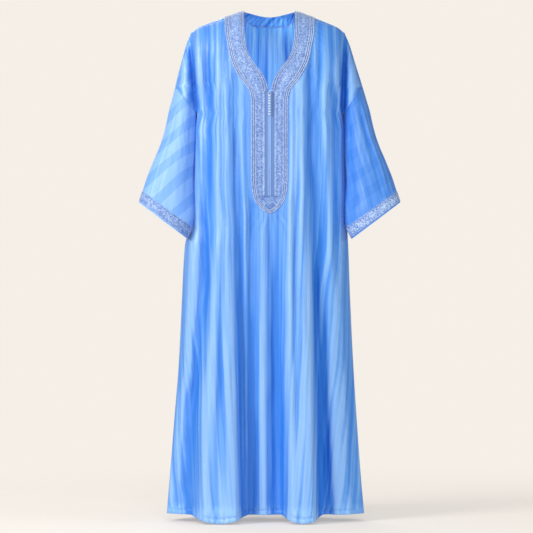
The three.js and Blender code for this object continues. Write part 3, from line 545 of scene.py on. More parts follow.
@dataclass
class MeshMaker:
    """Gathers grids of quads and makes one object of them."""

    name: str
    points: list[np.ndarray] = field(default_factory=list)
    quads: list[np.ndarray] = field(default_factory=list)
    uvs: list[np.ndarray] = field(default_factory=list)
    marks: list[np.ndarray] = field(default_factory=list)
    folds: list[np.ndarray] = field(default_factory=list)
    count: int = 0

    def add_grid(self, points, keep=None, uv=None, mark=None, flip=False, wrap=False, fold=None) -> None:
        """Adds a grid of quads.

        Args:
            points: an array of rows and columns of points, in mm.
            keep: which cells to keep, or None for all.
            uv: cloth coordinates in metres for each point.
            mark: a value from 0 to 1 for each point that a finish reads.
            flip: turns the faces round.
            wrap: joins the last column to the first.
            fold: how far each point stands out, from 0 in a trough to 1 on a crest; the satin reads it to paint shade
                and highlights.
        """
        rows, cols = points.shape[:2]
        index = np.arange(rows * cols).reshape(rows, cols)
        right = np.roll(index, -1, axis=1) if wrap else index[:, 1:]
        left = index if wrap else index[:, :-1]
        cells = np.stack([left[:-1], left[1:], right[1:], right[:-1]], axis=-1)
        cells = cells.reshape(-1, 4) if keep is None else cells[keep]
        if flip:
            cells = cells[:, ::-1]
        self.quads.append(cells + self.count)
        self.points.append(points.reshape(-1, 3))
        self.uvs.append(np.zeros((rows * cols, 2)) if uv is None else uv.reshape(-1, 2))
        self.marks.append(np.zeros(rows * cols) if mark is None else mark.reshape(-1))
        self.folds.append(np.full(rows * cols, 0.5) if fold is None else fold.reshape(-1))
        self.count += rows * cols

    def build(self, material: bpy.types.Material, weld: float = 0.0) -> bpy.types.Object:
        """Makes the object.

        Args:
            material: its finish.
            weld: joins points nearer than this, in mm.

        Returns:
            The object, at the origin, with smooth faces and the map and mark that finishes read.
        """
        points = np.concatenate(self.points)
        quads = np.concatenate(self.quads)
        uvs = np.concatenate(self.uvs)
        marks = np.concatenate(self.marks)
        used = np.unique(quads)
        place = np.full(len(points), -1)
        place[used] = np.arange(len(used))
        mesh = bpy.data.meshes.new(self.name)
        mesh.from_pydata((points[used] * MM).tolist(), [], place[quads].tolist())
        mesh.polygons.foreach_set("use_smooth", np.ones(len(mesh.polygons), bool))
        corners = np.zeros(len(mesh.loops), np.int32)
        mesh.loops.foreach_get("vertex_index", corners)
        layer = mesh.uv_layers.new(name="Cloth")
        layer.data.foreach_set("uv", uvs[used][corners].astype(np.float32).ravel())
        mark = mesh.attributes.new("mark", "FLOAT", "POINT")
        mark.data.foreach_set("value", marks[used].astype(np.float32))
        # fold: the mark for painted shade in troughs and painted highlights on crests.
        fold = mesh.attributes.new("fold", "FLOAT", "POINT")
        fold.data.foreach_set("value", np.concatenate(self.folds)[used].astype(np.float32))
        if weld:
            weld_points(mesh, weld * MM)
        mesh.materials.append(material)
        mesh.update()
        piece = bpy.data.objects.new(self.name, mesh)
        bpy.context.scene.collection.objects.link(piece)
        return piece


def weld_points(mesh: bpy.types.Mesh, distance: float) -> None:
    """Joins points of a mesh that lie closer than a distance, in metres."""
    import bmesh

    work = bmesh.new()
    work.from_mesh(mesh)
    bmesh.ops.remove_doubles(work, verts=work.verts, dist=distance)
    work.to_mesh(mesh)
    work.free()


def give_thickness(piece: bpy.types.Object, thickness: float) -> None:
    """Makes a surface a closed thin cloth, grown inwards by a thickness in mm."""
    solid = piece.modifiers.new("cloth", "SOLIDIFY")
    solid.thickness = thickness * MM
    solid.offset = -1.0
    solid.use_rim = True


def steadied(values: np.ndarray, reach: int = 7) -> np.ndarray:
    """Averages each value with those of the rows above and below it."""
    padded = np.pad(values, ((reach, reach), (0, 0)), mode="edge")
    width = 2 * reach + 1
    return sum(padded[k : k + len(values)] for k in range(width)) / width


def arc_columns(points_at, start: np.ndarray, end: np.ndarray, count: int) -> np.ndarray:
    """Splits each row into equal lengths of cloth.

    Args:
        points_at: gives the points of all rows for an array of x values.
        start: x of each row's start.
        end: x of each row's end.
        count: how many cells.

    Returns:
        x values, one row of count + 1 for each row, steadied from row to row.
    """
    share = np.linspace(0, 1, 4 * count + 1)
    xs = start[:, None] + (end - start)[:, None] * (1 - np.cos(np.pi * share / 2))[None, :]
    points = points_at(xs)
    steps = np.linalg.norm(np.diff(points, axis=1), axis=-1)
    steps = steps + 0.25 * steps.mean(axis=1, keepdims=True)
    length = np.concatenate([np.zeros((len(xs), 1)), np.cumsum(steps, axis=1)], axis=1)
    want = np.linspace(0, 1, count + 1)
    even = np.stack([np.interp(want * own[-1], own, x) for own, x in zip(length, xs)])
    return start[:, None] + (end - start)[:, None] * steadied((even - start[:, None]) / (end - start)[:, None])


def fold_share(out: np.ndarray, reach: int, scale: float) -> np.ndarray:
    """How far each point stands out from the mean of its neighbours along the row.

    Args:
        out: each point's height off the robe's middle, in mm.
        reach: how many neighbours on each side the mean takes.
        scale: the height that goes from the middle of the range to its end.

    Returns:
        0 in a deep trough, 0.5 on even cloth, 1 on a crest.
    """
    padded = np.pad(out, ((0, 0), (reach + 1, reach)), mode="reflect", reflect_type="odd")
    total = np.cumsum(padded, axis=1)
    width = 2 * reach + 1
    mean = (total[:, width:] - total[:, :-width]) / width
    return clamp01(0.5 + 0.5 * (out - mean) / scale)


def row_lengths(points: np.ndarray) -> np.ndarray:
    """The length of cloth from a row's first point to each of its points."""
    steps = np.linalg.norm(np.diff(points, axis=1), axis=-1)
    return np.concatenate([np.zeros((len(points), 1)), np.cumsum(steps, axis=1)], axis=1)


def resample(path: np.ndarray, step: float) -> np.ndarray:
    """Places points at equal steps along a path."""
    lengths = np.concatenate([[0], np.cumsum(np.linalg.norm(np.diff(path, axis=0), axis=1))])
    count = max(2, int(round(lengths[-1] / step)) + 1)
    want = np.linspace(0, lengths[-1], count)
    return np.stack([np.interp(want, lengths, path[:, k]) for k in range(path.shape[1])], axis=1)


# ---------------------------------------------------------------- finishes


class Graph:
    """A material's nodes, added and joined in short calls."""

    def __init__(self, name: str) -> None:
        """Starts a material with one Principled shader."""
        self.material = bpy.data.materials.new(name)
        self.material.use_nodes = True
        self.tree = self.material.node_tree
        self.shader = self.tree.nodes["Principled BSDF"]

    def node(self, kind: str, inputs: dict | None = None, **settings) -> bpy.types.Node:
        """Adds a node.

        Args:
            kind: the node's type name.
            inputs: values or sockets for its inputs, by name or number.
            settings: its own properties.

        Returns:
            The node.
        """
        made = self.tree.nodes.new(kind)
        for key, value in settings.items():
            setattr(made, key, value)
        for key, value in (inputs or {}).items():
            self.put(made.inputs[key], value)
        return made

    def put(self, socket: bpy.types.NodeSocket, value) -> None:
        """Sets an input, or joins it to an output."""
        if isinstance(value, bpy.types.NodeSocket):
            self.tree.links.new(value, socket)
        else:
            socket.default_value = value

    def maths(self, operation: str, a, b=0.0, c=0.0) -> bpy.types.NodeSocket:
        """Adds a sum and returns its output."""
        return self.node("ShaderNodeMath", {0: a, 1: b, 2: c}, operation=operation).outputs[0]

    def mix(self, share, a, b) -> bpy.types.NodeSocket:
        """Mixes two colours."""
        made = self.node("ShaderNodeMix", data_type="RGBA")
        self.put(made.inputs[0], share)
        self.put(made.inputs[6], a)
        self.put(made.inputs[7], b)
        return made.outputs[2]

    def steps(self, value, *stops: tuple[float, float]) -> bpy.types.NodeSocket:
        """A ramp from value to grey levels, by places and levels."""
        ramp = self.node("ShaderNodeValToRGB", {0: value})
        ramp.color_ramp.interpolation = "EASE"
        elements = ramp.color_ramp.elements
        while len(elements) < len(stops):
            elements.new(0.5)
        for element, (place, level) in zip(elements, stops):
            element.position = place
            element.color = (level, level, level, 1)
        return ramp.outputs[0]

    def bump(self, height, strength: float, distance: float, normal=None) -> bpy.types.NodeSocket:
        """Adds relief in a distance in metres."""
        inputs = {"Strength": strength, "Distance": distance, "Height": height}
        if normal is not None:
            inputs["Normal"] = normal
        return self.node("ShaderNodeBump", inputs).outputs[0]

    def shade(self, **values) -> None:
        """Sets the shader's inputs; an underscore in a name stands for a space."""
        for key, value in values.items():
            self.put(self.shader.inputs[key.replace("_", " ")], value)


class Stripes(Enum):
    """How the woven stripes lie on a piece."""

    BODY = "down the body, slanting where the cloth falls over the arm"
    RIGHT_SLEEVE = "slanting, clear"
    LEFT_SLEEVE = "slanting, faint"


@dataclass(frozen=True)
class Satin:
    """Pale blue satin with a woven stripe of the same colour, brighter and more even where it floats."""

    name: str
    stripes: Stripes
    # deep is painted shade for the folds' troughs, and crest is a painted highlight for their crests.
    deep: tuple[float, float, float, float] = (0.024, 0.190, 0.700, 1)
    ground: tuple[float, float, float, float] = (0.066, 0.258, 0.775, 1)
    float_: tuple[float, float, float, float] = (0.165, 0.405, 0.870, 1)
    crest: tuple[float, float, float, float] = (0.350, 0.590, 0.940, 1)
    # shaded is painted shade for the body's cloth that falls over the left arm.
    shaded: tuple[float, float, float, float] = (0.045, 0.200, 0.66, 1)
    sleeve_pitch: float = 0.056
    body_pitch: float = 0.031
    slant: float = math.radians(37)
    sleeve_level: float = 0.95
    body_level: float = 0.40
    streaks: float = 2.7
    roughness: float = 0.44
    # pleats sets both the bump of the fine hanging pleats and how far their noise paints shade and highlight into the
    # colour.
    pleats: float = 1.9

    def stripe(self, g: Graph, across, pitch: float) -> bpy.types.NodeSocket:
        """An even stripe with a finely lit edge.

        Args:
            g: the material's nodes.
            across: metres across the stripes.
            pitch: metres from one stripe to the next.

        Returns:
            1 on the floats, 0 on the ground.
        """
        turn = g.maths("FRACT", g.maths("DIVIDE", across, pitch))
        return g.steps(turn, (0.0, 0.0), (0.03, 1.0), (0.07, 0.8), (0.50, 0.9), (0.54, 1.0), (0.58, 0.08),
                       (0.97, 0.0))

    def level(self, g: Graph, cloth, place) -> bpy.types.NodeSocket:
        """How much of the cloth's face is float, from the woven stripes.

        Args:
            g: the material's nodes.
            cloth: the cloth's own map.
            place: the object's coordinates.

        Returns:
            A level from 0 to 1.
        """
        where = g.node("ShaderNodeSeparateXYZ", {0: place})
        slow = g.node("ShaderNodeTexNoise", {"Vector": place, "Scale": 5.0, "Detail": 1.0}).outputs[0]
        wander = g.maths("MULTIPLY", g.maths("SUBTRACT", slow, 0.5), 0.035)
        across = g.maths("SUBTRACT", g.maths("MULTIPLY", where.outputs[2], math.cos(self.slant)),
                         g.maths("MULTIPLY", where.outputs[0], math.sin(self.slant)))
        slanting = self.stripe(g, g.maths("ADD", across, wander), self.sleeve_pitch)
        if self.stripes is Stripes.BODY:
            along = g.node("ShaderNodeSeparateXYZ", {0: cloth}).outputs[0]
            down = self.stripe(g, along, self.body_pitch)
            arm = g.node("ShaderNodeAttribute", attribute_name="mark").outputs["Fac"]
            right = g.maths("LESS_THAN", where.outputs[0], 0.0)
            body = g.maths("MULTIPLY", g.maths("MULTIPLY", down, self.body_level), g.maths("SUBTRACT", 1.0, arm))
            over = g.maths("MULTIPLY", g.maths("MULTIPLY", arm, right), 0.7 * self.sleeve_level)
            return g.maths("MULTIPLY_ADD", slanting, over, body)
        share = self.sleeve_level if self.stripes is Stripes.RIGHT_SLEEVE else 0.24
        return g.maths("MULTIPLY", slanting, share)

    def build(self) -> bpy.types.Material:
        """Makes the material; the fold mark paints shade into the troughs and a highlight onto the crests."""
        g = Graph(self.name)
        cloth = g.node("ShaderNodeUVMap", uv_map="Cloth").outputs[0]
        place = g.node("ShaderNodeTexCoord").outputs["Object"]
        level = self.level(g, cloth, place)
        streak_at = g.node("ShaderNodeMapping", {"Vector": cloth, "Scale": (135.0, 2.2, 1.0)}).outputs[0]
        streaks = g.node("ShaderNodeTexNoise", {"Vector": streak_at, "Scale": 1.0, "Detail": 3.0}).outputs[0]
        hem = g.steps(g.maths("ADD", g.node("ShaderNodeSeparateXYZ", {0: cloth}).outputs[1], 1.43), (0.018, 1.0),
                      (0.055, 0.0))
        pucker_at = g.node("ShaderNodeMapping", {"Vector": cloth, "Scale": (105.0, 30.0, 1.0)}).outputs[0]
        puckers = g.maths("MULTIPLY", g.node("ShaderNodeTexNoise", {"Vector": pucker_at, "Scale": 1.0,
                                                                    "Detail": 1.0}).outputs[0], hem)
        uneven = g.maths("ADD", g.maths("SUBTRACT", streaks, 0.45), g.maths("MULTIPLY", puckers, 0.8))
        tone = g.maths("ADD", level, g.maths("MULTIPLY", uneven, self.streaks))
        woven = g.mix(g.node("ShaderNodeClamp", {0: tone}).outputs[0], self.ground, self.float_)
        gloss = 0.25 if self.stripes is Stripes.LEFT_SLEEVE else 0.62
        if self.stripes is Stripes.BODY:
            # Painted shade: on the left, the cloth over the arm is mixed most of the way to the shaded colour.
            arm = g.node("ShaderNodeAttribute", attribute_name="mark").outputs["Fac"]
            left = g.maths("GREATER_THAN", g.node("ShaderNodeSeparateXYZ", {0: place}).outputs[0], 0.0)
            over = g.maths("MULTIPLY", g.maths("MULTIPLY", arm, left), 0.85)
            woven = g.mix(over, woven, self.shaded)
            away = g.steps(g.node("ShaderNodeSeparateXYZ", {0: place}).outputs[0], (0.02, 0.62), (0.18, 0.20))
            gloss = g.maths("MAXIMUM", g.maths("MULTIPLY_ADD", over, -0.5, away), 0.1)
        # The pleats' noise is real relief through its bump, and painted shade and highlight through the fold mix below.
        pleat_at = g.node("ShaderNodeMapping", {"Vector": cloth, "Scale": (44.0, 0.9, 1.0)}).outputs[0]
        pleats = g.node("ShaderNodeTexNoise", {"Vector": pleat_at, "Scale": 1.0, "Detail": 2.0}).outputs[0]
        # Painted shade and highlight: the fold mark, stirred by the pleats' noise, mixes the deep shade into the
        # troughs and the crest highlight onto the crests.
        stands = g.node("ShaderNodeAttribute", attribute_name="fold").outputs["Fac"]
        fold = g.maths("MULTIPLY_ADD", g.maths("SUBTRACT", pleats, 0.5), self.pleats, stands)
        shaded = g.mix(g.steps(fold, (0.0, 0.0), (0.5, 1.0)), self.deep, woven)
        colour = g.mix(g.steps(fold, (0.5, 0.0), (1.0, 0.6)), shaded, self.crest)
        crinkle_at = g.node("ShaderNodeMapping", {"Vector": place, "Scale": (1.5, 1.0, 1.0),
                                                  "Rotation": (0.0, 0.5, 0.0)}).outputs[0]
        crinkle = g.node("ShaderNodeTexNoise", {"Vector": crinkle_at, "Scale": 95.0, "Detail": 4.0,
                                                "Roughness": 0.6}).outputs[0]
        weave = g.node("ShaderNodeTexWave", {"Vector": cloth, "Scale": 900.0, "Distortion": 0.6},
                       bands_direction="X").outputs[1]
        hung = g.bump(pleats, min(1.0, 0.5 * self.pleats), 0.006, g.bump(crinkle, 0.45, 0.0013))
        soft = g.bump(puckers, 0.9, 0.005, hung)
        normal = g.bump(weave, 0.05, 0.0002, g.bump(streaks, 0.35, 0.0011, soft))
        rough = g.maths("SUBTRACT", self.roughness, g.maths("MULTIPLY", level, 0.06))
        g.shade(Base_Color=colour, Roughness=rough, Normal=normal, Specular_IOR_Level=gloss, Sheen_Weight=0.12,
                Sheen_Roughness=0.35, Sheen_Tint=(0.62, 0.80, 1.0, 1))
        return g.material


@dataclass(frozen=True)
class Thread:
    """Embroidery and braid: pale lustrous thread over a lilac-blue ground, with painted shade in its hollows."""

    name: str
    # hollow is painted shade for the hollows between stitches, plies and cords.
    hollow: tuple[float, float, float, float] = (0.060, 0.140, 0.44, 1)
    ground: tuple[float, float, float, float] = (0.185, 0.310, 0.64, 1)
    light: tuple[float, float, float, float] = (0.44, 0.58, 0.84, 1)
    grain: float = 700.0
    speckle: float = 300.0
    # upper: painted light, how much the level rises above a height, where the band faces up to the light.
    upper: float = 0.12

    def build(self) -> bpy.types.Material:
        """Makes the material; the mark gives the thread's height, from hollow to crown, and low marks take the painted
        hollow shade.
        """
        g = Graph(self.name)
        place = g.node("ShaderNodeTexCoord").outputs["Object"]
        mark = g.node("ShaderNodeAttribute", attribute_name="mark").outputs["Fac"]
        grain = g.node("ShaderNodeTexNoise", {"Vector": place, "Scale": self.grain, "Detail": 2.0}).outputs[0]
        cells = g.node("ShaderNodeTexVoronoi", {"Vector": place, "Scale": self.speckle}).outputs["Color"]
        knots = g.node("ShaderNodeSeparateXYZ", {0: cells}).outputs[0]
        uneven = g.maths("ADD", g.maths("MULTIPLY", g.maths("SUBTRACT", grain, 0.5), 0.5),
                         g.maths("MULTIPLY", g.maths("SUBTRACT", knots, 0.5), 0.55))
        # Painted light: above a height the thread's level rises, so the upper part of the band, which faces up to the
        # light, comes out lighter.
        high = g.steps(g.maths("ADD", g.node("ShaderNodeSeparateXYZ", {0: place}).outputs[2], 0.60), (0.30, 0.0),
                       (0.44, self.upper))
        level = g.node("ShaderNodeClamp", {0: g.maths("ADD", g.maths("ADD", mark, high), uneven)}).outputs[0]
        # Painted shade: low levels take the hollow colour, higher ones the ground and then the light thread.
        low = g.mix(g.steps(level, (0.0, 0.0), (0.42, 1.0)), self.hollow, self.ground)
        colour = g.mix(g.steps(level, (0.38, 0.0), (0.85, 1.0)), low, self.light)
        normal = g.bump(grain, 0.5, 0.0004)
        g.shade(Base_Color=colour, Roughness=0.52, Normal=normal, Specular_IOR_Level=0.5, Sheen_Weight=0.3,
                Sheen_Roughness=0.5)
        return g.material


@dataclass(frozen=True)
class Tape:
    """The zip's woven tape."""

    name: str
    dark: tuple[float, float, float, float] = (0.080, 0.180, 0.46, 1)
    light: tuple[float, float, float, float] = (0.145, 0.275, 0.60, 1)
    # piping: a lighter colour for the rolled edge, a painted highlight along the zip's middle.
    piping: tuple[float, float, float, float] = (0.24, 0.39, 0.74, 1)

    def build(self) -> bpy.types.Material:
        """Makes the material: fine ribs that run along the tape."""
        g = Graph(self.name)
        place = g.node("ShaderNodeTexCoord").outputs["Object"]
        ribs = g.node("ShaderNodeTexWave", {"Vector": place, "Scale": 160.0, "Distortion": 0.5},
                      bands_direction="X").outputs[1]
        knots = g.node("ShaderNodeTexNoise", {"Vector": place, "Scale": 900.0}).outputs[0]
        tone = g.maths("ADD", g.maths("MULTIPLY", ribs, 0.6), g.maths("MULTIPLY", knots, 0.4))
        normal = g.bump(tone, 0.35, 0.0003)
        mark = g.node("ShaderNodeAttribute", attribute_name="mark").outputs["Fac"]
        # Painted highlight: the mark lightens the rolled edge to the piping colour.
        colour = g.mix(mark, g.mix(tone, self.dark, self.light), self.piping)
        g.shade(Base_Color=colour, Roughness=0.6, Normal=normal, Sheen_Weight=0.2)
        return g.material


@dataclass(frozen=True)
class Gloss:
    """A hard smooth finish, for glass balls, enamel and moulded teeth."""

    name: str
    colour: tuple[float, float, float, float]
    roughness: float
    metallic: float = 0.0
    coat: float = 0.0

    def build(self) -> bpy.types.Material:
        """Makes the material, with slight unevenness in its colour and gloss."""
        g = Graph(self.name)
        place = g.node("ShaderNodeTexCoord").outputs["Object"]
        cloud = g.node("ShaderNodeTexNoise", {"Vector": place, "Scale": 260.0, "Detail": 2.0}).outputs[0]
        darker = tuple(0.72 * c for c in self.colour[:3]) + (1,)
        rough = g.maths("MULTIPLY_ADD", cloud, 0.12, self.roughness)
        g.shade(Base_Color=g.mix(cloud, darker, self.colour), Roughness=rough, Metallic=self.metallic,
                Coat_Weight=self.coat, Coat_Roughness=0.05, Specular_IOR_Level=0.6)
        return g.material


# ---------------------------------------------------------------- the body


def give_reverse(piece: bpy.types.Object, reverse: bpy.types.Material) -> None:
    """Gives the inner side of a thin cloth its own finish, a brighter copy of the satin: painted light for the robe's
    inside.
    """
    piece.data.materials.append(reverse)
    piece.modifiers["cloth"].material_offset = 1


@dataclass
class BodyCloth:
    """The front, the back and the back neck band, each a thin cloth on its solid's form."""

    side_columns: int = 74
    neck_columns: int = 20
    top_rows: int = 44
    seam_rows: int = 14
    low_rows: int = 150
    cloth: float = 0.7
    gap: float = 0.35
    satin: bpy.types.Material | None = None
    reverse: bpy.types.Material | None = None

    def low_steps(self) -> np.ndarray:
        """Rows below the armpit, closer together at the sewn hem."""
        span = FORM.armpit[1] - FORM.hem_z
        hem = 1 - np.array([22.0, 18.0, 15.0, 13.8, 13.0, 12.2, 11.0, 7.0, 3.0, 0.0]) / span
        even = np.linspace(0, hem[0], self.low_rows)
        return 15 + np.concatenate([even[1:], hem[1:]])

    def rows(self, start: float) -> np.ndarray:
        """The rows of a panel from the shoulder down."""
        top = start + (8 - start) * np.linspace(0, 1, self.top_rows) ** 1.15
        seam = np.linspace(8, 15, self.seam_rows + 1)[1:]
        return np.concatenate([top, seam, self.low_steps()])

    @staticmethod
    def arm_mark(points: np.ndarray) -> np.ndarray:
        """1 where the cloth falls over the arm, on the outer side of the deep fold."""
        x, z = points[..., 0], points[..., 2]
        past = np.abs(x - FORM.shift(z)) - FORM.fold_x(z)
        return smooth((past + 3.0) / 6.0) * smooth((z + 300) / 10.0)

    def build_front(self) -> bpy.types.Object:
        """The front, open at the neck and down the slit."""
        rows = self.rows(0.0)
        halves = []
        for side in (-1, 1):
            end = side * np.maximum(FORM.neck_x(rows, "edge"), 0.6)
            start = FORM.edge_x(rows, side)
            xs = arc_columns(lambda x: FORM.points(Face.FRONT, rows[:, None], x), start, end, self.side_columns)
            halves.append(xs)
        xs = np.concatenate([halves[0], halves[1][:, ::-1]], axis=1)
        points = FORM.points(Face.FRONT, rows[:, None], xs)
        length = row_lengths(points)
        left, right = length[:, self.side_columns :][:, :1], length[:, self.side_columns + 1 :][:, :1]
        inner = np.arange(xs.shape[1]) <= self.side_columns
        across = np.where(inner, length - left + halves[0][:, -1:], length - right + halves[1][:, -1:])
        uv = np.stack([steadied(across) * MM, points[..., 2] * MM], axis=-1)
        fold = fold_share(-points[..., 1], 9, 7.5)
        keep = np.ones((len(rows) - 1, xs.shape[1] - 1), bool)
        keep[:, self.side_columns] = points[1:, self.side_columns, 2] < FORM.slit_end
        maker = MeshMaker("front_cloth")
        maker.add_grid(points, keep, uv, self.arm_mark(points), fold=fold)
        piece = maker.build(self.satin)
        give_thickness(piece, self.cloth)
        return self.declare(piece, "front_panel", "satin", (0.98, 1.42), 1.06)

    def back_columns(self, rows: np.ndarray) -> np.ndarray:
        """x values of the back's rows, with a column on each neck point."""
        turn = np.linspace(0, 1, self.neck_columns + 1)
        blend = smooth((rows - 2) / 8)[:, None]
        inside = FORM.neck_half * lerp(np.cos(np.pi / 2 * turn)[None, :], (1 - turn)[None, :], blend)
        halves = []
        for side in (-1, 1):
            start = FORM.edge_x(rows, side)
            end = np.full(len(rows), side * FORM.neck_half)
            out = arc_columns(lambda x: FORM.points(Face.BACK, rows[:, None], x), start, end, self.side_columns - 14)
            halves.append(np.concatenate([out, side * inside[:, 1:]], axis=1))
        return np.concatenate([halves[0], halves[1][:, -2::-1]], axis=1)

    def build_back(self) -> bpy.types.Object:
        """The back, from the shoulder seam in front over the shoulders to the hem."""
        over = np.array([0.0, -0.35, -0.7])
        rows = np.concatenate([np.linspace(0, 2, 7)[:-1], self.rows(2.0)])
        xs = self.back_columns(rows)
        behind = FORM.points(Face.BACK, rows[:, None], xs)
        before = FORM.points(Face.FRONT, over[:, None], np.repeat(xs[:1], len(over), axis=0))
        points = np.concatenate([before, behind])
        length = row_lengths(points)
        middle = length[:, xs.shape[1] // 2 : xs.shape[1] // 2 + 1]
        uv = np.stack([steadied(length - middle) * MM, points[..., 2] * MM], axis=-1)
        inside = np.abs((xs[0, :-1] + xs[0, 1:]) / 2) < FORM.neck_half
        keep = np.ones((len(points) - 1, xs.shape[1] - 1), bool)
        keep[: len(over) + 6, inside] = False
        maker = MeshMaker("back_cloth")
        maker.add_grid(points, keep, uv, self.arm_mark(points), flip=True, fold=fold_share(points[..., 1], 9, 7.5))
        piece = maker.build(self.satin)
        give_thickness(piece, self.cloth)
        give_reverse(piece, self.reverse)
        return self.declare(piece, "back_panel", "satin", (0.98, 1.44), 1.10)

    def build_back_neck(self) -> bpy.types.Object:
        """The shaped band behind the neck, with small slanting wrinkles."""
        rows = np.linspace(0, 2, 22)
        turn = np.linspace(-1, 1, 97)
        xs = np.repeat(FORM.neck_half * np.sin(np.pi / 2 * turn)[None, :], len(rows), axis=0)
        points = FORM.points(Face.BACK, rows[:, None], xs)
        middle = np.sin(np.pi * rows / 2)[:, None]
        wave = np.sin(xs / 3.1 + 1.8 * rows[:, None] + 1.5 * np.sin(xs / 13.0))
        points = points - grid_normals(points) * (0.5 * middle * wave * clamp01(1.15 - np.abs(turn)))[..., None]
        uv = np.stack([row_lengths(points) * MM, points[..., 2] * MM], axis=-1)
        maker = MeshMaker("back_neck_cloth")
        maker.add_grid(points, None, uv, None, flip=True)
        piece = maker.build(self.satin)
        give_thickness(piece, self.cloth)
        give_reverse(piece, self.reverse)
        return self.declare(piece, "back_neck_band", "satin_lining", (0.17, 0.05), 0.0068)

    @staticmethod
    def declare(piece, node: str, slot: str, flat: tuple[float, float], area: float) -> bpy.types.Object:
        """Ties a cloth to its node and hides the node's solid."""
        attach(piece, "garment")
        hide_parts(node)
        return piece


# ---------------------------------------------------------------- the sleeves


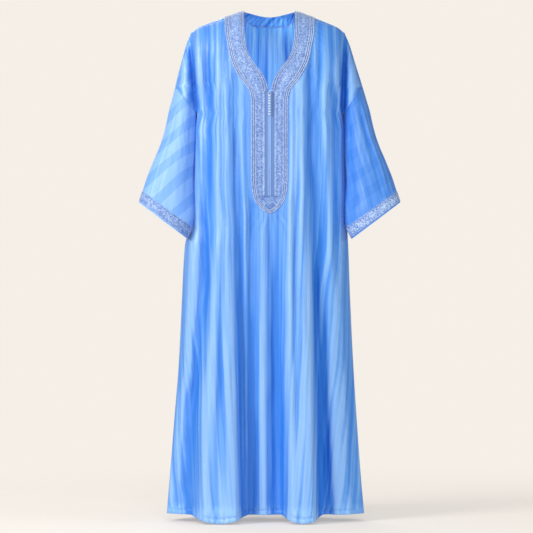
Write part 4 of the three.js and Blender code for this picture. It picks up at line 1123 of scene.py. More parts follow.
@dataclass
class SleeveCloth:
    """One sleeve with its cuff trim."""

    side: int
    satin: bpy.types.Material
    trim: bpy.types.Material
    rings: int = 130
    columns: int = 150
    cloth: float = 0.7
    trim_from: float = 0.909
    trim_to: float = 0.988

    @property
    def word(self) -> str:
        """The wearer's side."""
        return "left" if self.side > 0 else "right"

    def surface(self, share: np.ndarray, angle: np.ndarray) -> np.ndarray:
        """Points of the sleeve: slanting ellipses from the armhole to the cuff, plus its creases.

        Args:
            share: the way down from the armhole, 0 to 1.
            angle: the turn round the sleeve, from its outer line over the front.

        Returns:
            The points; the first ring is the armhole's own edge.
        """
        share, angle = np.broadcast_arrays(np.asarray(share, float), np.asarray(angle, float))
        ring = self.ellipse(share, angle)
        offset = FORM.seam_point(self.side, angle) - self.ellipse(np.zeros_like(share), angle)
        return ring + offset * ((1 - share) ** 4)[..., None]

    def ellipse(self, share: np.ndarray, angle: np.ndarray) -> np.ndarray:
        """The slanting ellipse at a share of the way down, with the sleeve's waves and creases."""
        outer_z = lerp(FORM.drop_seam[1], FORM.cuff_z, share)
        inner_z = lerp(FORM.armpit[1], SLEEVE_INNER["z"][-1], share)
        to_inner = (1 - np.cos(angle)) / 2
        x = lerp(FORM.outer(outer_z), line(SLEEVE_INNER, "z", "x")(inner_z), to_inner)
        z = lerp(outer_z, inner_z, to_inner)
        depth = np.where(np.sin(angle) >= 0, line(SLEEVE, "at", "front")(share), line(SLEEVE, "at", "back")(share))
        y = line(SLEEVE, "at", "axis")(share) - depth * np.sin(angle)
        wave = 2.5 * np.sin(2 * angle + 9 * share + 0.7)
        out = (wave * smooth(share * 3) * smooth((1.05 - share) * 4)) + self.creases(share, angle)
        return np.stack([self.side * (x + out * np.cos(angle)), y - out * np.sin(angle), z], axis=-1)

    def creases(self, share: np.ndarray, angle: np.ndarray) -> np.ndarray:
        """Long soft creases down the sleeve and short slanting ones near the inner line."""
        ease = smooth(share * 5) * smooth((0.93 - share) * 8)
        turn = angle % (2 * np.pi)

        def crease(at: float, lean: float, width: float, height: float, start: float, end: float) -> np.ndarray:
            """A bell across the turn, from one share of the way down to another."""
            off = (turn - at - lean * share + np.pi) % (2 * np.pi) - np.pi
            span = smooth((share - start) * 6) * smooth((end - share) * 6)
            return height * np.exp(-((off / width) ** 2)) * span

        long = (
            crease(0.88, -0.1, 0.10, 3.2, 0.0, 1.1)
            + crease(1.10, -0.05, 0.12, -2.8, 0.0, 1.0)
            + crease(1.5, 0.35, 0.22, 2.4, 0.1, 1.1)
            + crease(2.15, 0.2, 0.16, -2.2, 0.1, 0.9)
            + crease(2.7, -0.1, 0.14, 1.8, 0.2, 1.1)
            + crease(3.9, 0.2, 0.20, 2.2, 0.1, 1.0)
            + crease(4.7, -0.3, 0.18, -2.2, 0.0, 1.0)
            + crease(5.4, 0.1, 0.16, 2.0, 0.1, 1.1)
        )
        inner = np.exp(-(((turn - 2.4) / 0.5) ** 2)) + np.exp(-(((turn - 4.0) / 0.5) ** 2))
        short = 0.7 * inner * np.sin(34 * share + 5 * turn) * (0.5 + 0.5 * np.sin(9 * share + 1))
        fine = 0.14 * np.sin(19 * turn + 6 * np.sin(7 * share)) + 0.1 * np.sin(41 * share + 9 * np.sin(2 * turn))
        return ease * ((0.55 if self.side < 0 else 0.85) * long + (0.3 if self.side < 0 else 1.0) * short + fine)

    def build(self) -> bpy.types.Object:
        """The sleeve's cloth, with a sewn edge at the cuff."""
        near_cuff = 1 - np.array([0.0065, 0.004, 0.0015, 0.0])
        share = np.concatenate([np.linspace(0, 1, self.rings)[:-1] * 0.992, near_cuff])
        angle = np.linspace(0, 2 * np.pi, self.columns + 1)[:-1]
        points = self.surface(share[:, None], angle[None, :])
        around = row_lengths(points)
        uv = np.stack([around * MM, points[..., 2] * MM], axis=-1)
        fold = clamp01(0.5 + self.creases(share[:, None], angle[None, :]) / 12.0)
        maker = MeshMaker("sleeve_cloth_" + self.word)
        maker.add_grid(points, None, uv, None, flip=self.side > 0, wrap=True, fold=fold)
        piece = maker.build(self.satin)
        give_thickness(piece, self.cloth)
        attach(piece, "garment")
        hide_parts("sleeve_" + self.word)
        return piece

    def build_trim(self) -> bpy.types.Object:
        """The brocade band round the cuff, with a cord along each edge."""
        share = np.linspace(self.trim_from, self.trim_to, 30)
        angle = np.linspace(0, 2 * np.pi, 421)[:-1]
        points = self.surface(share[:, None], angle[None, :])
        normals = ring_normals(points, self.side)
        around = row_lengths(points)
        width = np.linalg.norm(points[-1] - points[0], axis=-1).mean()
        across = ((share - share.mean()) / (share[-1] - share[0]) * width)[:, None] * np.ones_like(around)
        height, tone = EMBROIDERY.relief(around, across, np.full_like(around, width))
        rim = smooth(np.minimum(across + width / 2, width / 2 - across) / 0.8)
        lifted = points + normals * (0.25 + (0.8 + 0.55 * height) * rim)[..., None]
        maker = MeshMaker("cuff_trim_cloth_" + self.word)
        maker.add_grid(lifted, None, None, tone + 0.09, flip=self.side > 0, wrap=True)
        for k, out in ((1, 1.1), (len(share) - 2, 1.1)):
            add_cord(maker, lifted[k] * 0 + points[k] + normals[k] * out, normals[k], 1.0, closed=True)
        piece = maker.build(self.trim)
        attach(piece, "garment")
        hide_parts("cuff_trim_" + self.word)
        return piece


def ring_normals(points: np.ndarray, side: int) -> np.ndarray:
    """Outward normals of a closed band of rings."""
    padded = np.concatenate([points[:, -1:], points, points[:, :1]], axis=1)
    return -side * grid_normals(padded)[:, 1:-1]


# ---------------------------------------------------------------- embroidery, braids and sewing


@dataclass(frozen=True)
class Embroidery:
    """A plain traditional pattern: two running vines with leaves and rosettes over seed stitches."""

    repeat: float = 22.0
    vine: float = 0.62
    seed: float = 2.3

    def relief(self, along: np.ndarray, across: np.ndarray, width: np.ndarray) -> tuple[np.ndarray, np.ndarray]:
        """Works out the stitches' height.

        Args:
            along: mm along the band.
            across: mm from its middle.
            width: its width there.

        Returns:
            The height from 0 to 1, and the tone that the thread's finish reads, low between the stitches and in the
            groove, where it paints shade.
        """
        s = along % self.repeat
        turn = 2 * np.pi * s / self.repeat
        swing = 0.24 * width
        high = np.zeros(np.broadcast(along, across).shape)
        for way in (-1, 1):
            vine_t = way * swing * np.sin(turn)
            slope = swing * 2 * np.pi / self.repeat * np.cos(turn)
            high = np.maximum(high, self.ridge(np.abs(across - vine_t) / np.sqrt(1 + slope**2), self.vine))
        for at, t, lean in ((0.12, 0.34, 0.8), (0.38, 0.34, -0.8), (0.62, -0.34, 0.8), (0.88, -0.34, -0.8),
                            (0.12, -0.34, -0.8), (0.38, -0.34, 0.8), (0.62, 0.34, -0.8), (0.88, 0.34, 0.8)):
            high = np.maximum(high, 0.9 * self.leaf(s, across, at * self.repeat, t * width, lean))
        for at in (0.25, 0.75):
            high = np.maximum(high, self.rosette(s, across, at * self.repeat))
        row = np.round(along / self.seed)
        spot = np.hypot(along - self.seed * row, (across + self.seed / 2 * (row % 2)) % self.seed - self.seed / 2)
        high = np.maximum(high, 0.55 * self.ridge(spot, 0.7))
        edge = width / 2 - np.abs(across)
        chain = self.ridge(np.abs(edge - 1.5 - 0.5 * np.sin(2 * np.pi * along / 3.4)), 0.7)
        groove = np.exp(-(((edge - 3.2) / 0.6) ** 2))
        high = np.maximum(high, 0.8 * chain) * (1 - 0.8 * groove)
        # Painted shade: the tone is lowest between the stitches and lower still in the groove.
        return high, 0.12 + 0.44 * high - 0.2 * groove

    @staticmethod
    def ridge(distance: np.ndarray, half: float) -> np.ndarray:
        """A round-topped stitch of a half width, from its middle line."""
        return np.sqrt(clamp01(1 - (distance / (half * 1.35)) ** 2))

    @staticmethod
    def leaf(s: np.ndarray, t: np.ndarray, at: float, off: np.ndarray, lean: float) -> np.ndarray:
        """A pointed oval with a vein."""
        u = (s - at) * math.cos(lean) + (t - off) * math.sin(lean)
        v = -(s - at) * math.sin(lean) + (t - off) * math.cos(lean)
        body = clamp01(1 - (np.abs(u) / 3.0) ** 1.6 - (np.abs(v) / 1.4) ** 2)
        return np.sqrt(body) * (1 - 0.4 * np.exp(-((v / 0.4) ** 2)))

    @staticmethod
    def rosette(s: np.ndarray, t: np.ndarray, at: float) -> np.ndarray:
        """Six petals round a knot."""
        radius = np.hypot(s - at, t)
        angle = np.arctan2(t, s - at)
        reach = 2.6 + 0.9 * np.cos(6 * angle)
        petals = np.sqrt(clamp01(1 - (radius / reach) ** 2))
        return np.maximum(petals * smooth(radius / 1.2), np.sqrt(clamp01(1 - (radius / 0.9) ** 2)))


EMBROIDERY = Embroidery()


def add_cord(maker: MeshMaker, path: np.ndarray, up: np.ndarray, radius: float, closed: bool = False) -> None:
    """Adds a twisted two-ply cord along a path.

    Its section is a circle whose radius swells twice round, turned along the path by the twist.

    Args:
        maker: the mesh that gets it.
        path: points about 1 mm apart.
        up: a direction off the cloth at each point.
        radius: its mean radius.
        closed: whether the path is a ring.
    """
    sides = 8
    ahead = np.roll(path, -1, axis=0) - np.roll(path, 1, axis=0) if closed else np.gradient(path, axis=0)
    ahead = ahead / np.maximum(np.linalg.norm(ahead, axis=1, keepdims=True), 1e-9)
    side = np.cross(ahead, up)
    side = side / np.maximum(np.linalg.norm(side, axis=1, keepdims=True), 1e-9)
    top = np.cross(side, ahead)
    steps = np.linalg.norm(np.diff(path, axis=0), axis=1)
    along = np.concatenate([[0], np.cumsum(steps)])
    angle = np.linspace(0, 2 * np.pi, sides + 1)[:-1]
    twist = 2 * np.pi * along / 5.2
    swell = 0.5 + 0.5 * np.cos(2 * (angle[None, :] - twist[:, None]))
    r = radius * (0.80 + 0.26 * swell)
    if not closed:
        taper = np.minimum(np.arange(len(path)), np.arange(len(path))[::-1])
        r = r * np.clip(taper / 1.0, 0.05, 1)[:, None]
    ring = (path[:, None] + r[..., None] * (np.cos(angle)[None, :, None] * side[:, None]
                                            + np.sin(angle)[None, :, None] * top[:, None]))
    # Painted shade: the tone falls where the plies dip, so the finish darkens the grooves between them.
    tone = 0.34 + 0.36 * swell
    if closed:
        ring = np.concatenate([ring, ring[:1]])
        tone = np.concatenate([tone, tone[:1]])
    maker.add_grid(ring, None, None, tone, wrap=True)


@dataclass
class NeckBand:
    """The embroidered band round the neck and down the placket, with its braids and the zip's tapes."""

    thread: bpy.types.Material
    tape: bpy.types.Material
    satin: bpy.types.Material
    top: float = -1.35  # rows start this far behind the shoulder line
    step: float = 1.05
    tip: float = -571.0
    inner_tip: float = -560.0

    def points(self, rows: np.ndarray, xs: np.ndarray) -> np.ndarray:
        """Points of the front, carried over the shoulder line to the back for rows before -1."""
        front = FORM.points(Face.FRONT, np.maximum(rows, -1.0), xs)
        over = np.maximum(-1 - rows, 0.0)
        z = FORM.top(Face.BACK, xs) - FORM.shoulder_drop * 0.02 * over**2.6
        y = FORM.y(Face.BACK, xs, z)
        back = np.stack([xs, y, z], axis=-1)
        return np.where((over > 0)[..., None], back, front)

    def lane(self, rows: np.ndarray, name: str) -> np.ndarray:
        """Distance from the centre of one of the band's lines on each row."""
        return FORM.neck_x(np.maximum(rows, -1.0), name)

    def rows_to(self, end_z: float, name: str) -> np.ndarray:
        """Rows at equal steps along a line of the band, from behind the shoulder down to a height."""
        last = 15 + (FORM.armpit[1] - end_z) / (FORM.armpit[1] - FORM.hem_z)
        dense = np.concatenate([np.linspace(self.top, 0, 60)[:-1], np.linspace(0, 15, 300)[:-1],
                                np.linspace(15, last, 300)])
        path = self.points(dense, self.lane(dense, name))
        length = np.concatenate([[0], np.cumsum(np.linalg.norm(np.diff(path, axis=0), axis=1))])
        want = np.linspace(0, length[-1], int(length[-1] / self.step))
        return np.interp(want, length, dense)

    def strip(self, rows: np.ndarray, outside: np.ndarray, inside: np.ndarray, side: int, columns: int):
        """A grid between two lines of the band.

        Args:
            rows: the rows.
            outside: distance of its outer edge from the centre.
            inside: distance of its inner edge.
            side: -1 or 1.
            columns: how many cells across.

        Returns:
            Points, outward normals, mm along and mm across from its middle, and its width.
        """
        share = np.linspace(0, 1, columns + 1)[None, :]
        xs = side * lerp(outside[:, None], inside[:, None], share)
        points = self.points(np.repeat(rows[:, None], columns + 1, axis=1), xs)
        normals = grid_normals(points) * (-side)
        width = np.linalg.norm(points[:, -1] - points[:, 0], axis=-1)[:, None] * np.ones_like(share)
        middle = points[:, columns // 2]
        along = np.concatenate([[0], np.cumsum(np.linalg.norm(np.diff(middle, axis=0), axis=1))])
        return points, normals, along[:, None] * np.ones_like(share), (share - 0.5) * width, width

    def build_field(self) -> bpy.types.Object:
        """The embroidered field on both sides, and its closed end below the zip."""
        maker = MeshMaker("neck_band_embroidery")
        rows = self.rows_to(FORM.slit_end, "field")
        outside, inside = self.lane(rows, "field"), self.lane(rows, "braid")
        for side in (-1, 1):
            points, normals, along, across, width = self.strip(rows, outside, inside, side, 24)
            normals = normals * np.sign(-normals[:, :, 1:2].mean())
            self.add_relief(maker, points, normals, along, across, width, flip=side > 0)
        low = np.linspace(FORM.slit_end - 0.4, self.inner_tip + 0.4, 38)
        low_rows = self.row_at(low)
        reach = self.arch(low, 1.0)
        share = np.linspace(-1, 1, 61)[None, :]
        xs = reach[:, None] * share
        points = self.points(np.repeat(low_rows[:, None], 61, axis=1), xs)
        normals = grid_normals(points)
        normals = normals * np.sign(-normals[:, :, 1:2].mean())
        width = np.full_like(xs, 34.0)
        self.add_relief(maker, points, normals, xs + 21.0, points[..., 2] - FORM.slit_end + 16, width, flip=False)
        piece = maker.build(self.thread)
        return self.ride(piece, "neck_band", "embroidery")

    @staticmethod
    def add_relief(maker, points, normals, along, across, width, flip: bool) -> None:
        """Adds a strip raised by its stitches, with edges that turn down to the cloth."""
        height, tone = EMBROIDERY.relief(along, across, width)
        lifted = points + normals * (0.95 + 0.6 * height)[..., None]
        ring = np.concatenate([(points + normals * 0.15)[:, :1], lifted, (points + normals * 0.15)[:, -1:]], axis=1)
        tone = np.concatenate([tone[:, :1], tone, tone[:, -1:]], axis=1)
        maker.add_grid(ring, None, None, tone, flip=flip)

    def cords(self, maker: MeshMaker, rows: np.ndarray, lanes: list[tuple[np.ndarray, float]], lift: float,
              sides: tuple[int, ...], radius: float) -> None:
        """Adds cords along lines of the band.

        Args:
            maker: the mesh that gets them.
            rows: rows about a millimetre apart.
            lanes: each cord's distance from the centre on each row, with its share of the radius.
            lift: how far its middle is above the cloth.
            sides: which sides get them; both make one cord that turns round the tip.
            radius: the cords' radius.
        """
        for lane, thick in lanes:
            paths = []
            for side in sides:
                near = self.points(rows, side * lane)
                beside = self.points(rows, side * (lane + 1.0))
                ahead = np.gradient(near, axis=0)
                normal = np.cross(ahead, beside - near)
                normal = normal / np.maximum(np.linalg.norm(normal, axis=1, keepdims=True), 1e-9)
                normal = normal * np.where(normal[:, 1:2].mean() > 0, -1.0, 1.0)
                paths.append((near, normal))
            if len(paths) == 2:
                (a, na), (b, nb) = paths
                joined = (np.concatenate([a, b[::-1]]), np.concatenate([na, nb[::-1]]))
                paths = [joined]
            for near, normal in paths:
                path = resample(np.concatenate([near + normal * lift, normal], axis=1), 1.1)
                add_cord(maker, path[:, :3], path[:, 3:], radius * thick)

    @staticmethod
    def row_at(z: np.ndarray) -> np.ndarray:
        """The row that lies at a height below the armpits."""
        return 15 + (FORM.armpit[1] - z) / (FORM.armpit[1] - FORM.hem_z)

    def arch(self, z: np.ndarray, share: float) -> np.ndarray:
        """Half width of the round end below the zip.

        Args:
            z: heights below the zip's end.
            share: 0 for the braid's outer edge, 1 for its inner edge.

        Returns:
            The distance from the centre, which closes at the tip.
        """
        outer = float(line(NECK, "z", "outer")(FORM.slit_end))
        inner = float(line(NECK, "z", "field")(FORM.slit_end))
        tip = lerp(self.tip, self.inner_tip, share)
        down = clamp01((FORM.slit_end - z) / (FORM.slit_end - tip))
        return lerp(outer, inner, share) * (1 - down**1.6) ** 0.72

    def build_outer_braid(self) -> bpy.types.Object:
        """Three cords side by side along the band's outer edge, round the tip of the placket."""
        upper = self.rows_to(FORM.slit_end, "outer")
        outer, inner = self.lane(upper, "outer"), self.lane(upper, "field")
        maker = MeshMaker("outer_braid_cords")
        lanes = []
        for share, thick in ((0.14, 1.0), (0.50, 0.95), (0.86, 1.0)):
            tip = lerp(self.tip, self.inner_tip, share)
            z = FORM.slit_end + (tip - FORM.slit_end) * np.sin(np.linspace(0.01, np.pi / 2, 60))
            rows = np.concatenate([upper, self.row_at(z)])
            lane = np.concatenate([lerp(outer, inner, share), np.maximum(self.arch(z, share), 0.2)])
            self.cords(maker, rows, [(lane, thick)], 1.0, (-1, 1), 1.85)
        z = np.linspace(FORM.slit_end, self.tip + 0.5, 50)[1:]
        rows = np.concatenate([upper, self.row_at(z)])
        outside = np.concatenate([outer, np.maximum(self.arch(z, 0.0), 0.2)])
        inside = np.concatenate([inner, self.arch(z, 1.0)])
        self.backing(maker, rows, outside, inside)
        piece = maker.build(self.thread)
        return self.ride(piece, "braid_outer", "braid")

    def backing(self, maker: MeshMaker, rows: np.ndarray, outside: np.ndarray, inside: np.ndarray) -> None:
        """The narrow ground that the cords are sewn on, on both sides."""
        for side in (-1, 1):
            points, normals, along, _, _ = self.strip(rows, outside, inside, side, 6)
            normals = normals * np.sign(-normals[:, :, 1:2].mean())
            # Painted shade: the backing under the cords takes the lowest mark, the hollow shade colour.
            maker.add_grid(points + normals * 0.5, None, None, np.full(along.shape, -0.1), flip=side > 0)

    def build_inner_braid(self, side: int) -> bpy.types.Object:
        """Three cords along the neck's edge and the zip, on one side."""
        rows = self.rows_to(FORM.slit_end, "braid")
        outer = self.lane(rows, "braid")
        inner = np.where(self.points(rows, outer)[:, 2] > -229.0, self.lane(rows, "edge"), self.lane(rows, "tape"))
        inner = np.convolve(np.pad(inner, 4, mode="edge"), np.ones(9) / 9, mode="valid")
        word = "left" if side > 0 else "right"
        maker = MeshMaker("inner_braid_cords_" + word)
        lanes = [(lerp(outer, inner, share), thick) for share, thick in ((0.12, 0.8), (0.5, 1.0), (0.88, 0.8))]
        self.cords(maker, rows, lanes, 1.05, (side,), 1.35)
        points, normals, along, _, _ = self.strip(rows, outer, inner, side, 6)
        normals = normals * np.sign(-normals[:, :, 1:2].mean())
        # Painted shade: the backing under the cords takes the lowest mark, the hollow shade colour.
        maker.add_grid(points + normals * 0.5, None, None, np.full(along.shape, -0.1), flip=side > 0)
        piece = maker.build(self.thread)
        return self.ride(piece, "braid_inner_" + word, "braid")

    def build_tape(self, side: int) -> bpy.types.Object:
        """One tape of the zip, with a rolled edge at the middle that covers the teeth."""
        span = np.linspace(-231.0, FORM.slit_end - 0.5, 150)
        rows = np.where(span > FORM.armpit[1], 0.0, 15 + (FORM.armpit[1] - span) / (FORM.armpit[1] - FORM.hem_z))
        share = np.linspace(0, 1, 15)[None, :]
        outside = line(NECK, "z", "tape")(span)[:, None]
        xs = side * lerp(outside, 0.9, share) * np.ones((len(rows), 1))
        z = np.repeat(span[:, None], 15, axis=1)
        y = FORM.y(Face.FRONT, xs, z)
        piping = smooth((share - 0.66) / 0.12)
        roll = 0.45 + 1.5 * piping * np.sqrt(clamp01(1.02 - ((share - 0.83) / 0.17) ** 2 * piping))
        points = np.stack([xs, y - roll, z], axis=-1)
        word = "left" if side > 0 else "right"
        maker = MeshMaker("zip_tape_cloth_" + word)
        maker.add_grid(points, None, None, piping * np.ones_like(z), flip=side > 0)
        piece = maker.build(self.tape)
        give_thickness(piece, 0.5)
        return self.ride(piece, "zip_tape_" + word, "zip_tape")

    @staticmethod
    def ride(piece: bpy.types.Object, node: str, slot: str) -> bpy.types.Object:
        """Ties a piece to its node."""
        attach(piece, "garment")
        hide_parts(node)
        return piece


@dataclass
class Zip:
    """The zip's teeth, slider and hanging pull."""

    teeth_finish: bpy.types.Material
    metal: bpy.types.Material
    glass: bpy.types.Material
    eye: tuple[float, float, float] = (0.0, -111.780, -234.5)
    balls: int = 8
    pitch: float = 7.3
    radius: float = 4.1
    half_height: float = 3.0
    first: float = 9.0  # the top ball's middle hangs this far below the eye
    loop_half: float = 4.5
    wire: float = 0.8

    def build_teeth(self) -> bpy.types.Object:
        """Small moulded teeth from both tapes, in turn: rounded boxes a millimetre and a half apart."""
        z = np.arange(-243.0, FORM.slit_end + 2, -1.5)
        u = np.linspace(0, 2 * np.pi, 13)[:-1]
        v = np.linspace(-np.pi / 2, np.pi / 2, 7)
        cu, su, cv, sv = np.cos(u), np.sin(u), np.cos(v), np.sin(v)

        def square(c: np.ndarray, power: float) -> np.ndarray:
            """Makes a round section boxier."""
            return np.sign(c) * np.abs(c) ** power

        shape = np.stack([square(cv, 0.5)[:, None] * square(cu, 0.5)[None, :] * 1.0,
                          square(cv, 0.5)[:, None] * square(su, 0.5)[None, :] * 0.5,
                          np.repeat(square(sv, 0.5)[:, None] * 0.55, 12, axis=1)], axis=-1)
        maker = MeshMaker("zip_teeth")
        side = np.where(np.arange(len(z)) % 2 == 0, 0.35, -0.35)
        y = FORM.y(Face.FRONT, np.zeros_like(z), z) - 1.1
        for x_at, y_at, z_at in zip(side, y, z):
            maker.add_grid(shape + np.array([x_at, y_at, z_at]), None, None, None, wrap=True, flip=True)
        piece = maker.build(self.teeth_finish, weld=0.001)
        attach(piece, "garment")
        return piece

    def build_pull(self) -> bpy.types.Object:
        """A wire loop through the slider's eye, and a string of glass balls with small rings between them."""
        x0, y0, z0 = self.eye
        maker = MeshMaker("bead_pull")
        u = np.linspace(0, 2 * np.pi, 29)[:-1]
        v = np.linspace(-np.pi / 2, np.pi / 2, 17)
        for k in range(self.balls):
            middle = z0 - self.first - k * self.pitch
            maker.add_grid(self.round_body(u, v, self.radius, self.half_height, x0, y0, middle), wrap=True, flip=True,
                           mark=np.zeros((len(v), len(u))))
            if k:
                ring = self.round_body(u, v, 1.5, 0.75, x0, y0, middle + self.pitch / 2)
                maker.add_grid(ring, wrap=True, flip=True)
        half, drop = self.loop_half, self.first - self.half_height
        bend = np.linspace(0, np.pi, 13)
        arch = np.stack([half * np.cos(bend), 0 * bend, 0.9 * np.sin(bend) - 0.9], axis=1)
        foot = np.array([[-half, 0, -drop + 1.6], [-1.2, 0, -drop], [1.2, 0, -drop], [half, 0, -drop + 1.6]])
        path = resample(np.concatenate([arch, foot, arch[:1]]), 0.9)[:-1] + np.array([x0, y0, z0])
        turn = np.linspace(0, 2 * np.pi, 9)[:-1]
        ahead = np.roll(path, -1, axis=0) - np.roll(path, 1, axis=0)
        ahead = ahead / np.linalg.norm(ahead, axis=1, keepdims=True)
        front = np.array([0.0, -1.0, 0.0])
        side = np.cross(ahead, front)
        ring = path[:, None] + self.wire * (np.cos(turn)[None, :, None] * side[:, None]
                                            + np.sin(turn)[None, :, None] * front[None, None, :])
        maker.add_grid(np.concatenate([ring, ring[:1]]), wrap=True)
        piece = maker.build(self.glass, weld=0.001)
        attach(piece, "pull")
        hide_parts("zip_pull")
        return piece

    @staticmethod
    def round_body(u, v, radius: float, half: float, x: float, y: float, z: float) -> np.ndarray:
        """A flattened ball as a grid of rings."""
        cv = np.cos(v)[:, None]
        return np.stack([x + radius * cv * np.cos(u)[None, :], y + radius * cv * np.sin(u)[None, :],
                         z + half * np.sin(v)[:, None] * np.ones_like(u)[None, :]], axis=-1)

    def dress_slider(self) -> None:
        """Gives the slider's own solid its enamel."""
        body = bpy.data.objects["zip_slider"]
        body.data.materials.clear()
        body.data.materials.append(self.metal)


@dataclass
class Sewing:
    """Rows of small stitches along hems and seams."""

    thread: bpy.types.Material
    stitch: float = 2.6
    pitch: float = 3.7
    radius: float = 0.34
    maker: MeshMaker = field(default_factory=lambda: MeshMaker("sewing_stitches"))

    def add_row(self, path: np.ndarray, up: np.ndarray) -> None:
        """Adds stitches along a path.

        Args:
            path: points along the seam.
            up: the direction off the cloth at each of them.
        """
        even = resample(np.concatenate([path, up], axis=1), self.pitch / 2)
        middle, lift = even[1:-1:2, :3], even[1:-1:2, 3:]
        ahead = even[2::2, :3][: len(middle)] - even[0:-1:2, :3][: len(middle)]
        ahead = ahead / np.maximum(np.linalg.norm(ahead, axis=1, keepdims=True), 1e-9)
        lift = lift / np.maximum(np.linalg.norm(lift, axis=1, keepdims=True), 1e-9)
        side = np.cross(ahead, lift)
        turn = np.linspace(0, 2 * np.pi, 7)[:-1]
        share = np.array([-0.5, -0.36, 0.0, 0.36, 0.5])
        swell = np.array([0.05, 0.8, 1.0, 0.8, 0.05]) * self.radius
        ring = (np.cos(turn)[None, None, :, None] * side[:, None, None]
                + np.sin(turn)[None, None, :, None] * lift[:, None, None]) * swell[None, :, None, None]
        centre = middle[:, None, None] + ahead[:, None, None] * (share * self.stitch)[None, :, None, None]
        centre = centre + lift[:, None, None] * (self.radius * 0.35)
        capsules = ring + centre
        index = np.arange(capsules.size // 3).reshape(capsules.shape[:3])
        right = np.roll(index, -1, axis=2)
        cells = np.stack([index[:, :-1], index[:, 1:], right[:, 1:], right[:, :-1]], axis=-1).reshape(-1, 4)
        self.maker.quads.append(cells + self.maker.count)
        self.maker.points.append(capsules.reshape(-1, 3))
        self.maker.uvs.append(np.zeros((index.size, 2)))
        self.maker.marks.append(np.full(index.size, 0.7))
        self.maker.folds.append(np.full(index.size, 0.5))
        self.maker.count += index.size

    @staticmethod
    def across(points: np.ndarray, away: np.ndarray) -> np.ndarray:
        """A direction off the cloth along a path: the given direction made one unit long."""
        return away / np.maximum(np.linalg.norm(away, axis=-1, keepdims=True), 1e-9)

    def add_on_panel(self, face: Face, rows: np.ndarray, xs: np.ndarray) -> None:
        """Adds a row of stitches on the front or the back."""
        here = FORM.points(face, rows, xs)
        along = FORM.points(face, rows, xs + 0.8) - here
        below = FORM.points(face, rows + 0.02, xs) - here
        up = np.cross(along, below)
        up = up * np.where((up[:, 1:2] > 0) == (face is Face.BACK), 1.0, -1.0)
        self.add_row(here + self.across(here, up) * 0.12, up)

    def build(self, sleeves: "list[SleeveCloth]") -> bpy.types.Object:
        """All the robe's sewing."""
        hem_row = 16 - 13.0 / (FORM.armpit[1] - FORM.hem_z)
        for face in Face:
            xs = np.linspace(FORM.edge_x(np.array(hem_row), -1) + 3, FORM.edge_x(np.array(hem_row), 1) - 3, 900)
            self.add_on_panel(face, np.full(900, hem_row), xs)
        for side in (-1, 1):
            shoulder = side * np.linspace(130, 188, 60)
            self.add_on_panel(Face.FRONT, np.full(60, 0.28), shoulder)
            down = np.linspace(8.2, 14.6, 60)
            self.add_on_panel(Face.FRONT, down, FORM.edge_x(down, side) - side * 3.0)
            self.add_on_panel(Face.BACK, down, FORM.edge_x(down, side) - side * 3.0)
            band = np.linspace(0.35, 14.9, 200)
            self.add_on_panel(Face.FRONT, band, side * (FORM.neck_x(band, "outer") + 1.8))
        neck = FORM.neck_half * np.sin(np.linspace(-1.15, 1.15, 120))
        self.add_on_panel(Face.BACK, np.full(120, 2.16), neck)
        tape = FORM.neck_half * np.sin(np.linspace(-1.36, 1.36, 150))
        inner = FORM.points(Face.BACK, np.full(150, 2.1), tape) + np.array([0.0, -2.4, 0.0])
        add_cord(self.maker, inner, np.tile([0.0, -1.0, 0.0], (150, 1)), 1.0)
        for sleeve in sleeves:
            turn = np.linspace(0, 2 * np.pi, 400)
            for share in (0.9, 0.994):
                here = sleeve.surface(np.full(400, share), turn)
                ahead = np.gradient(here, axis=0)
                down = sleeve.surface(np.full(400, share + 0.004), turn) - here
                up = np.cross(ahead, down) * sleeve.side
                out = here - here.mean(axis=0)
                up = up * np.sign((up * out).sum(axis=1, keepdims=True))
                self.add_row(here + self.across(here, up) * 0.1, up)
        piece = self.maker.build(self.thread)
        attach(piece, "garment")
        return piece


# ---------------------------------------------------------------- the room


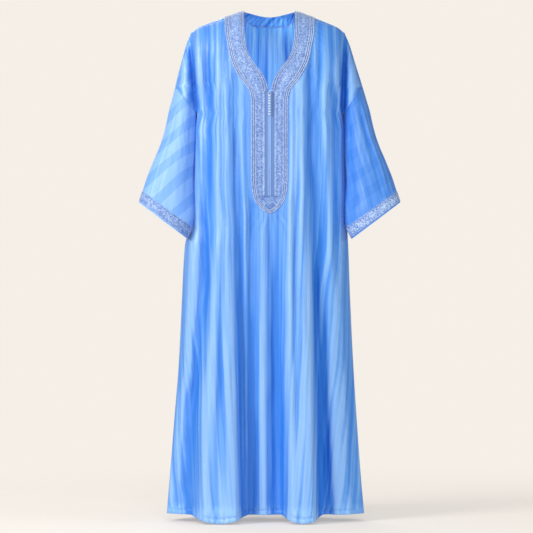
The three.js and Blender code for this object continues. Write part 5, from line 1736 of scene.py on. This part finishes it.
@dataclass
class Room:
    """The plain floor, the soft light and the camera."""

    camera_from: tuple[float, float, float] = (-0.0087, -8.0, -0.718)
    lens: float = 191.8
    floor_z: float = -1.434
    backdrop: tuple[float, float, float, float] = (0.913, 0.863, 0.800, 1)

    def build_camera(self) -> None:
        """The camera looks level at the robe's middle from in front."""
        data = bpy.data.cameras.new("camera")
        data.lens = self.lens
        data.sensor_width = 36.0
        data.clip_end = 60
        camera = bpy.data.objects.new("camera", data)
        camera.location = self.camera_from
        camera.rotation_euler = (math.pi / 2, 0, 0)
        bpy.context.scene.collection.objects.link(camera)
        bpy.context.scene.camera = camera

    def build_floor(self) -> None:
        """A pale floor that fades into the backdrop away from the robe."""
        maker = MeshMaker("floor")
        radius = np.linspace(0, 6000, 40)[:, None]
        turn = np.linspace(0, 2 * np.pi, 65)[None, :-1]
        ring = np.stack([radius * np.cos(turn), radius * np.sin(turn), np.full((40, 64), self.floor_z / MM)], axis=-1)
        maker.add_grid(ring, wrap=True)
        g = Graph("pale_floor")
        place = g.node("ShaderNodeTexCoord").outputs["Object"]
        flat = g.node("ShaderNodeVectorMath", {0: place, 1: (1, 1, 0)}, operation="MULTIPLY").outputs[0]
        away = g.node("ShaderNodeVectorMath", {0: flat}, operation="LENGTH").outputs["Value"]
        fade = g.maths("SUBTRACT", 1.0, g.steps(g.maths("DIVIDE", away, 3.0), (0.12, 0.0), (0.8, 1.0)))
        g.shade(Base_Color=(0.52, 0.49, 0.455, 1), Roughness=0.9, Alpha=fade, Specular_IOR_Level=0.05,
                Emission_Color=(0.93, 0.87, 0.80, 1), Emission_Strength=0.42)
        floor = maker.build(g.material)

    def build_light(self) -> None:
        """A large soft key light from the front left, a weaker one from the right, and an even room."""
        for name, at, size, power, colour in (
            ("key", (-2.7, -2.5, 1.0), 1.4, 118.0, (1.0, 0.995, 0.98)),
            ("front", (0.3, -4.8, 1.1), 1.8, 84.0, (1.0, 0.995, 0.98)),
            ("side", (3.2, -1.4, 0.1), 1.2, 20.0, (0.78, 0.94, 1.0)),
            ("back", (-0.9, 3.4, 1.6), 2.6, 60.0, (1.0, 0.99, 0.97)),
        ):
            data = bpy.data.lights.new(name, "AREA")
            data.size = size
            data.energy = power
            data.color = colour
            lamp = bpy.data.objects.new(name, data)
            lamp.location = at
            aim = np.array([0.0, 0.0, -0.75]) - np.array(at)
            lamp.rotation_euler = Vector(aim.tolist()).to_track_quat("-Z", "Y").to_euler()
            bpy.context.scene.collection.objects.link(lamp)
        inner = bpy.data.lights.new("inner", "POINT")
        inner.energy = 0.5
        inner.shadow_soft_size = 0.06
        glow = bpy.data.objects.new("inner", inner)
        glow.location = (0.0, -0.01, -0.33)
        glow.visible_camera = False
        bpy.context.scene.collection.objects.link(glow)
        world = bpy.data.worlds.new("room")
        world.use_nodes = True
        tree = world.node_tree
        tree.nodes.clear()
        seen = tree.nodes.new("ShaderNodeBackground")
        seen.inputs[0].default_value = self.backdrop
        lit = tree.nodes.new("ShaderNodeBackground")
        lit.inputs[0].default_value = (1.0, 0.985, 0.965, 1)
        lit.inputs[1].default_value = 0.36
        path = tree.nodes.new("ShaderNodeLightPath")
        both = tree.nodes.new("ShaderNodeMixShader")
        out = tree.nodes.new("ShaderNodeOutputWorld")
        tree.links.new(path.outputs["Is Camera Ray"], both.inputs[0])
        tree.links.new(lit.outputs[0], both.inputs[1])
        tree.links.new(seen.outputs[0], both.inputs[2])
        tree.links.new(both.outputs[0], out.inputs[0])
        bpy.context.scene.world = world
        bpy.context.scene.view_settings.view_transform = "Standard"


def report(piece: bpy.types.Object) -> None:
    """Logs a piece and its faces."""
    LOG.info("%s: %d faces", piece.name, len(piece.data.polygons))


def main() -> None:
    """Builds the room, the cloth, the band, the zip and the sewing in turn."""
    logging.basicConfig(level=logging.INFO, format="%(name)s: %(message)s")
    room = Room()
    room.build_camera()
    room.build_floor()
    room.build_light()

    body_satin = Satin("body_satin", Stripes.BODY).build()
    # Painted light: the reverse is a brighter copy of the satin that lights the robe's inside, with its own painted
    # trough shade and crest highlight.
    reverse = Satin("lit_satin_reverse", Stripes.BODY, deep=(0.025, 0.22, 0.72, 1), ground=(0.14, 0.49, 1.0, 1),
                    float_=(0.27, 0.66, 1.0, 1), crest=(0.46, 0.84, 1.0, 1), streaks=3.0, pleats=3.2).build()
    body = BodyCloth(satin=body_satin, reverse=reverse)
    for piece in (body.build_front(), body.build_back(), body.build_back_neck()):
        report(piece)

    thread = Thread("embroidery_thread").build()
    sleeves = [
        SleeveCloth(-1, Satin("right_sleeve_satin", Stripes.RIGHT_SLEEVE, ground=(0.155, 0.370, 0.87, 1),
                              float_=(0.250, 0.480, 0.93, 1), streaks=0.7, roughness=0.54, pleats=0.4).build(), thread),
        # Painted shade: the left sleeve's satin is a darker copy, for the sleeve on the side away from the key light.
        SleeveCloth(1, Satin("left_sleeve_shaded_satin", Stripes.LEFT_SLEEVE, ground=(0.050, 0.215, 0.70, 1),
                             float_=(0.125, 0.340, 0.84, 1), streaks=0.9, roughness=0.48, pleats=0.9).build(),
                    # Painted light: the left cuff's thread is a lighter copy of the embroidery thread.
                    Thread("left_cuff_lit_thread", ground=(0.26, 0.40, 0.72, 1), light=(0.58, 0.72, 0.92, 1)).build()),
    ]
    for sleeve in sleeves:
        report(sleeve.build())
        report(sleeve.build_trim())

    braid = Thread("braid_thread", hollow=(0.10, 0.17, 0.44, 1), ground=(0.26, 0.37, 0.66, 1)).build()
    band = NeckBand(thread, Tape("zip_tape").build(), body_satin)
    report(band.build_field())
    band.thread = braid
    report(band.build_outer_braid())
    for side in (-1, 1):
        report(band.build_inner_braid(side))
        report(band.build_tape(side))

    zip_parts = Zip(
        Gloss("moulded_teeth", (0.42, 0.60, 0.93, 1), 0.35).build(),
        Gloss("enamel", (0.30, 0.42, 0.72, 1), 0.28, metallic=0.35, coat=0.4).build(),
        Gloss("bead_glass", (0.60, 0.75, 0.98, 1), 0.12, coat=1.0).build(),
    )
    report(zip_parts.build_teeth())
    report(zip_parts.build_pull())
    zip_parts.dress_slider()

    report(Sewing(Thread("sewing_thread", light=(0.42, 0.62, 0.97, 1), ground=(0.25, 0.5, 0.95, 1)).build()).build(sleeves))


if __name__ == "__main__":
    main()
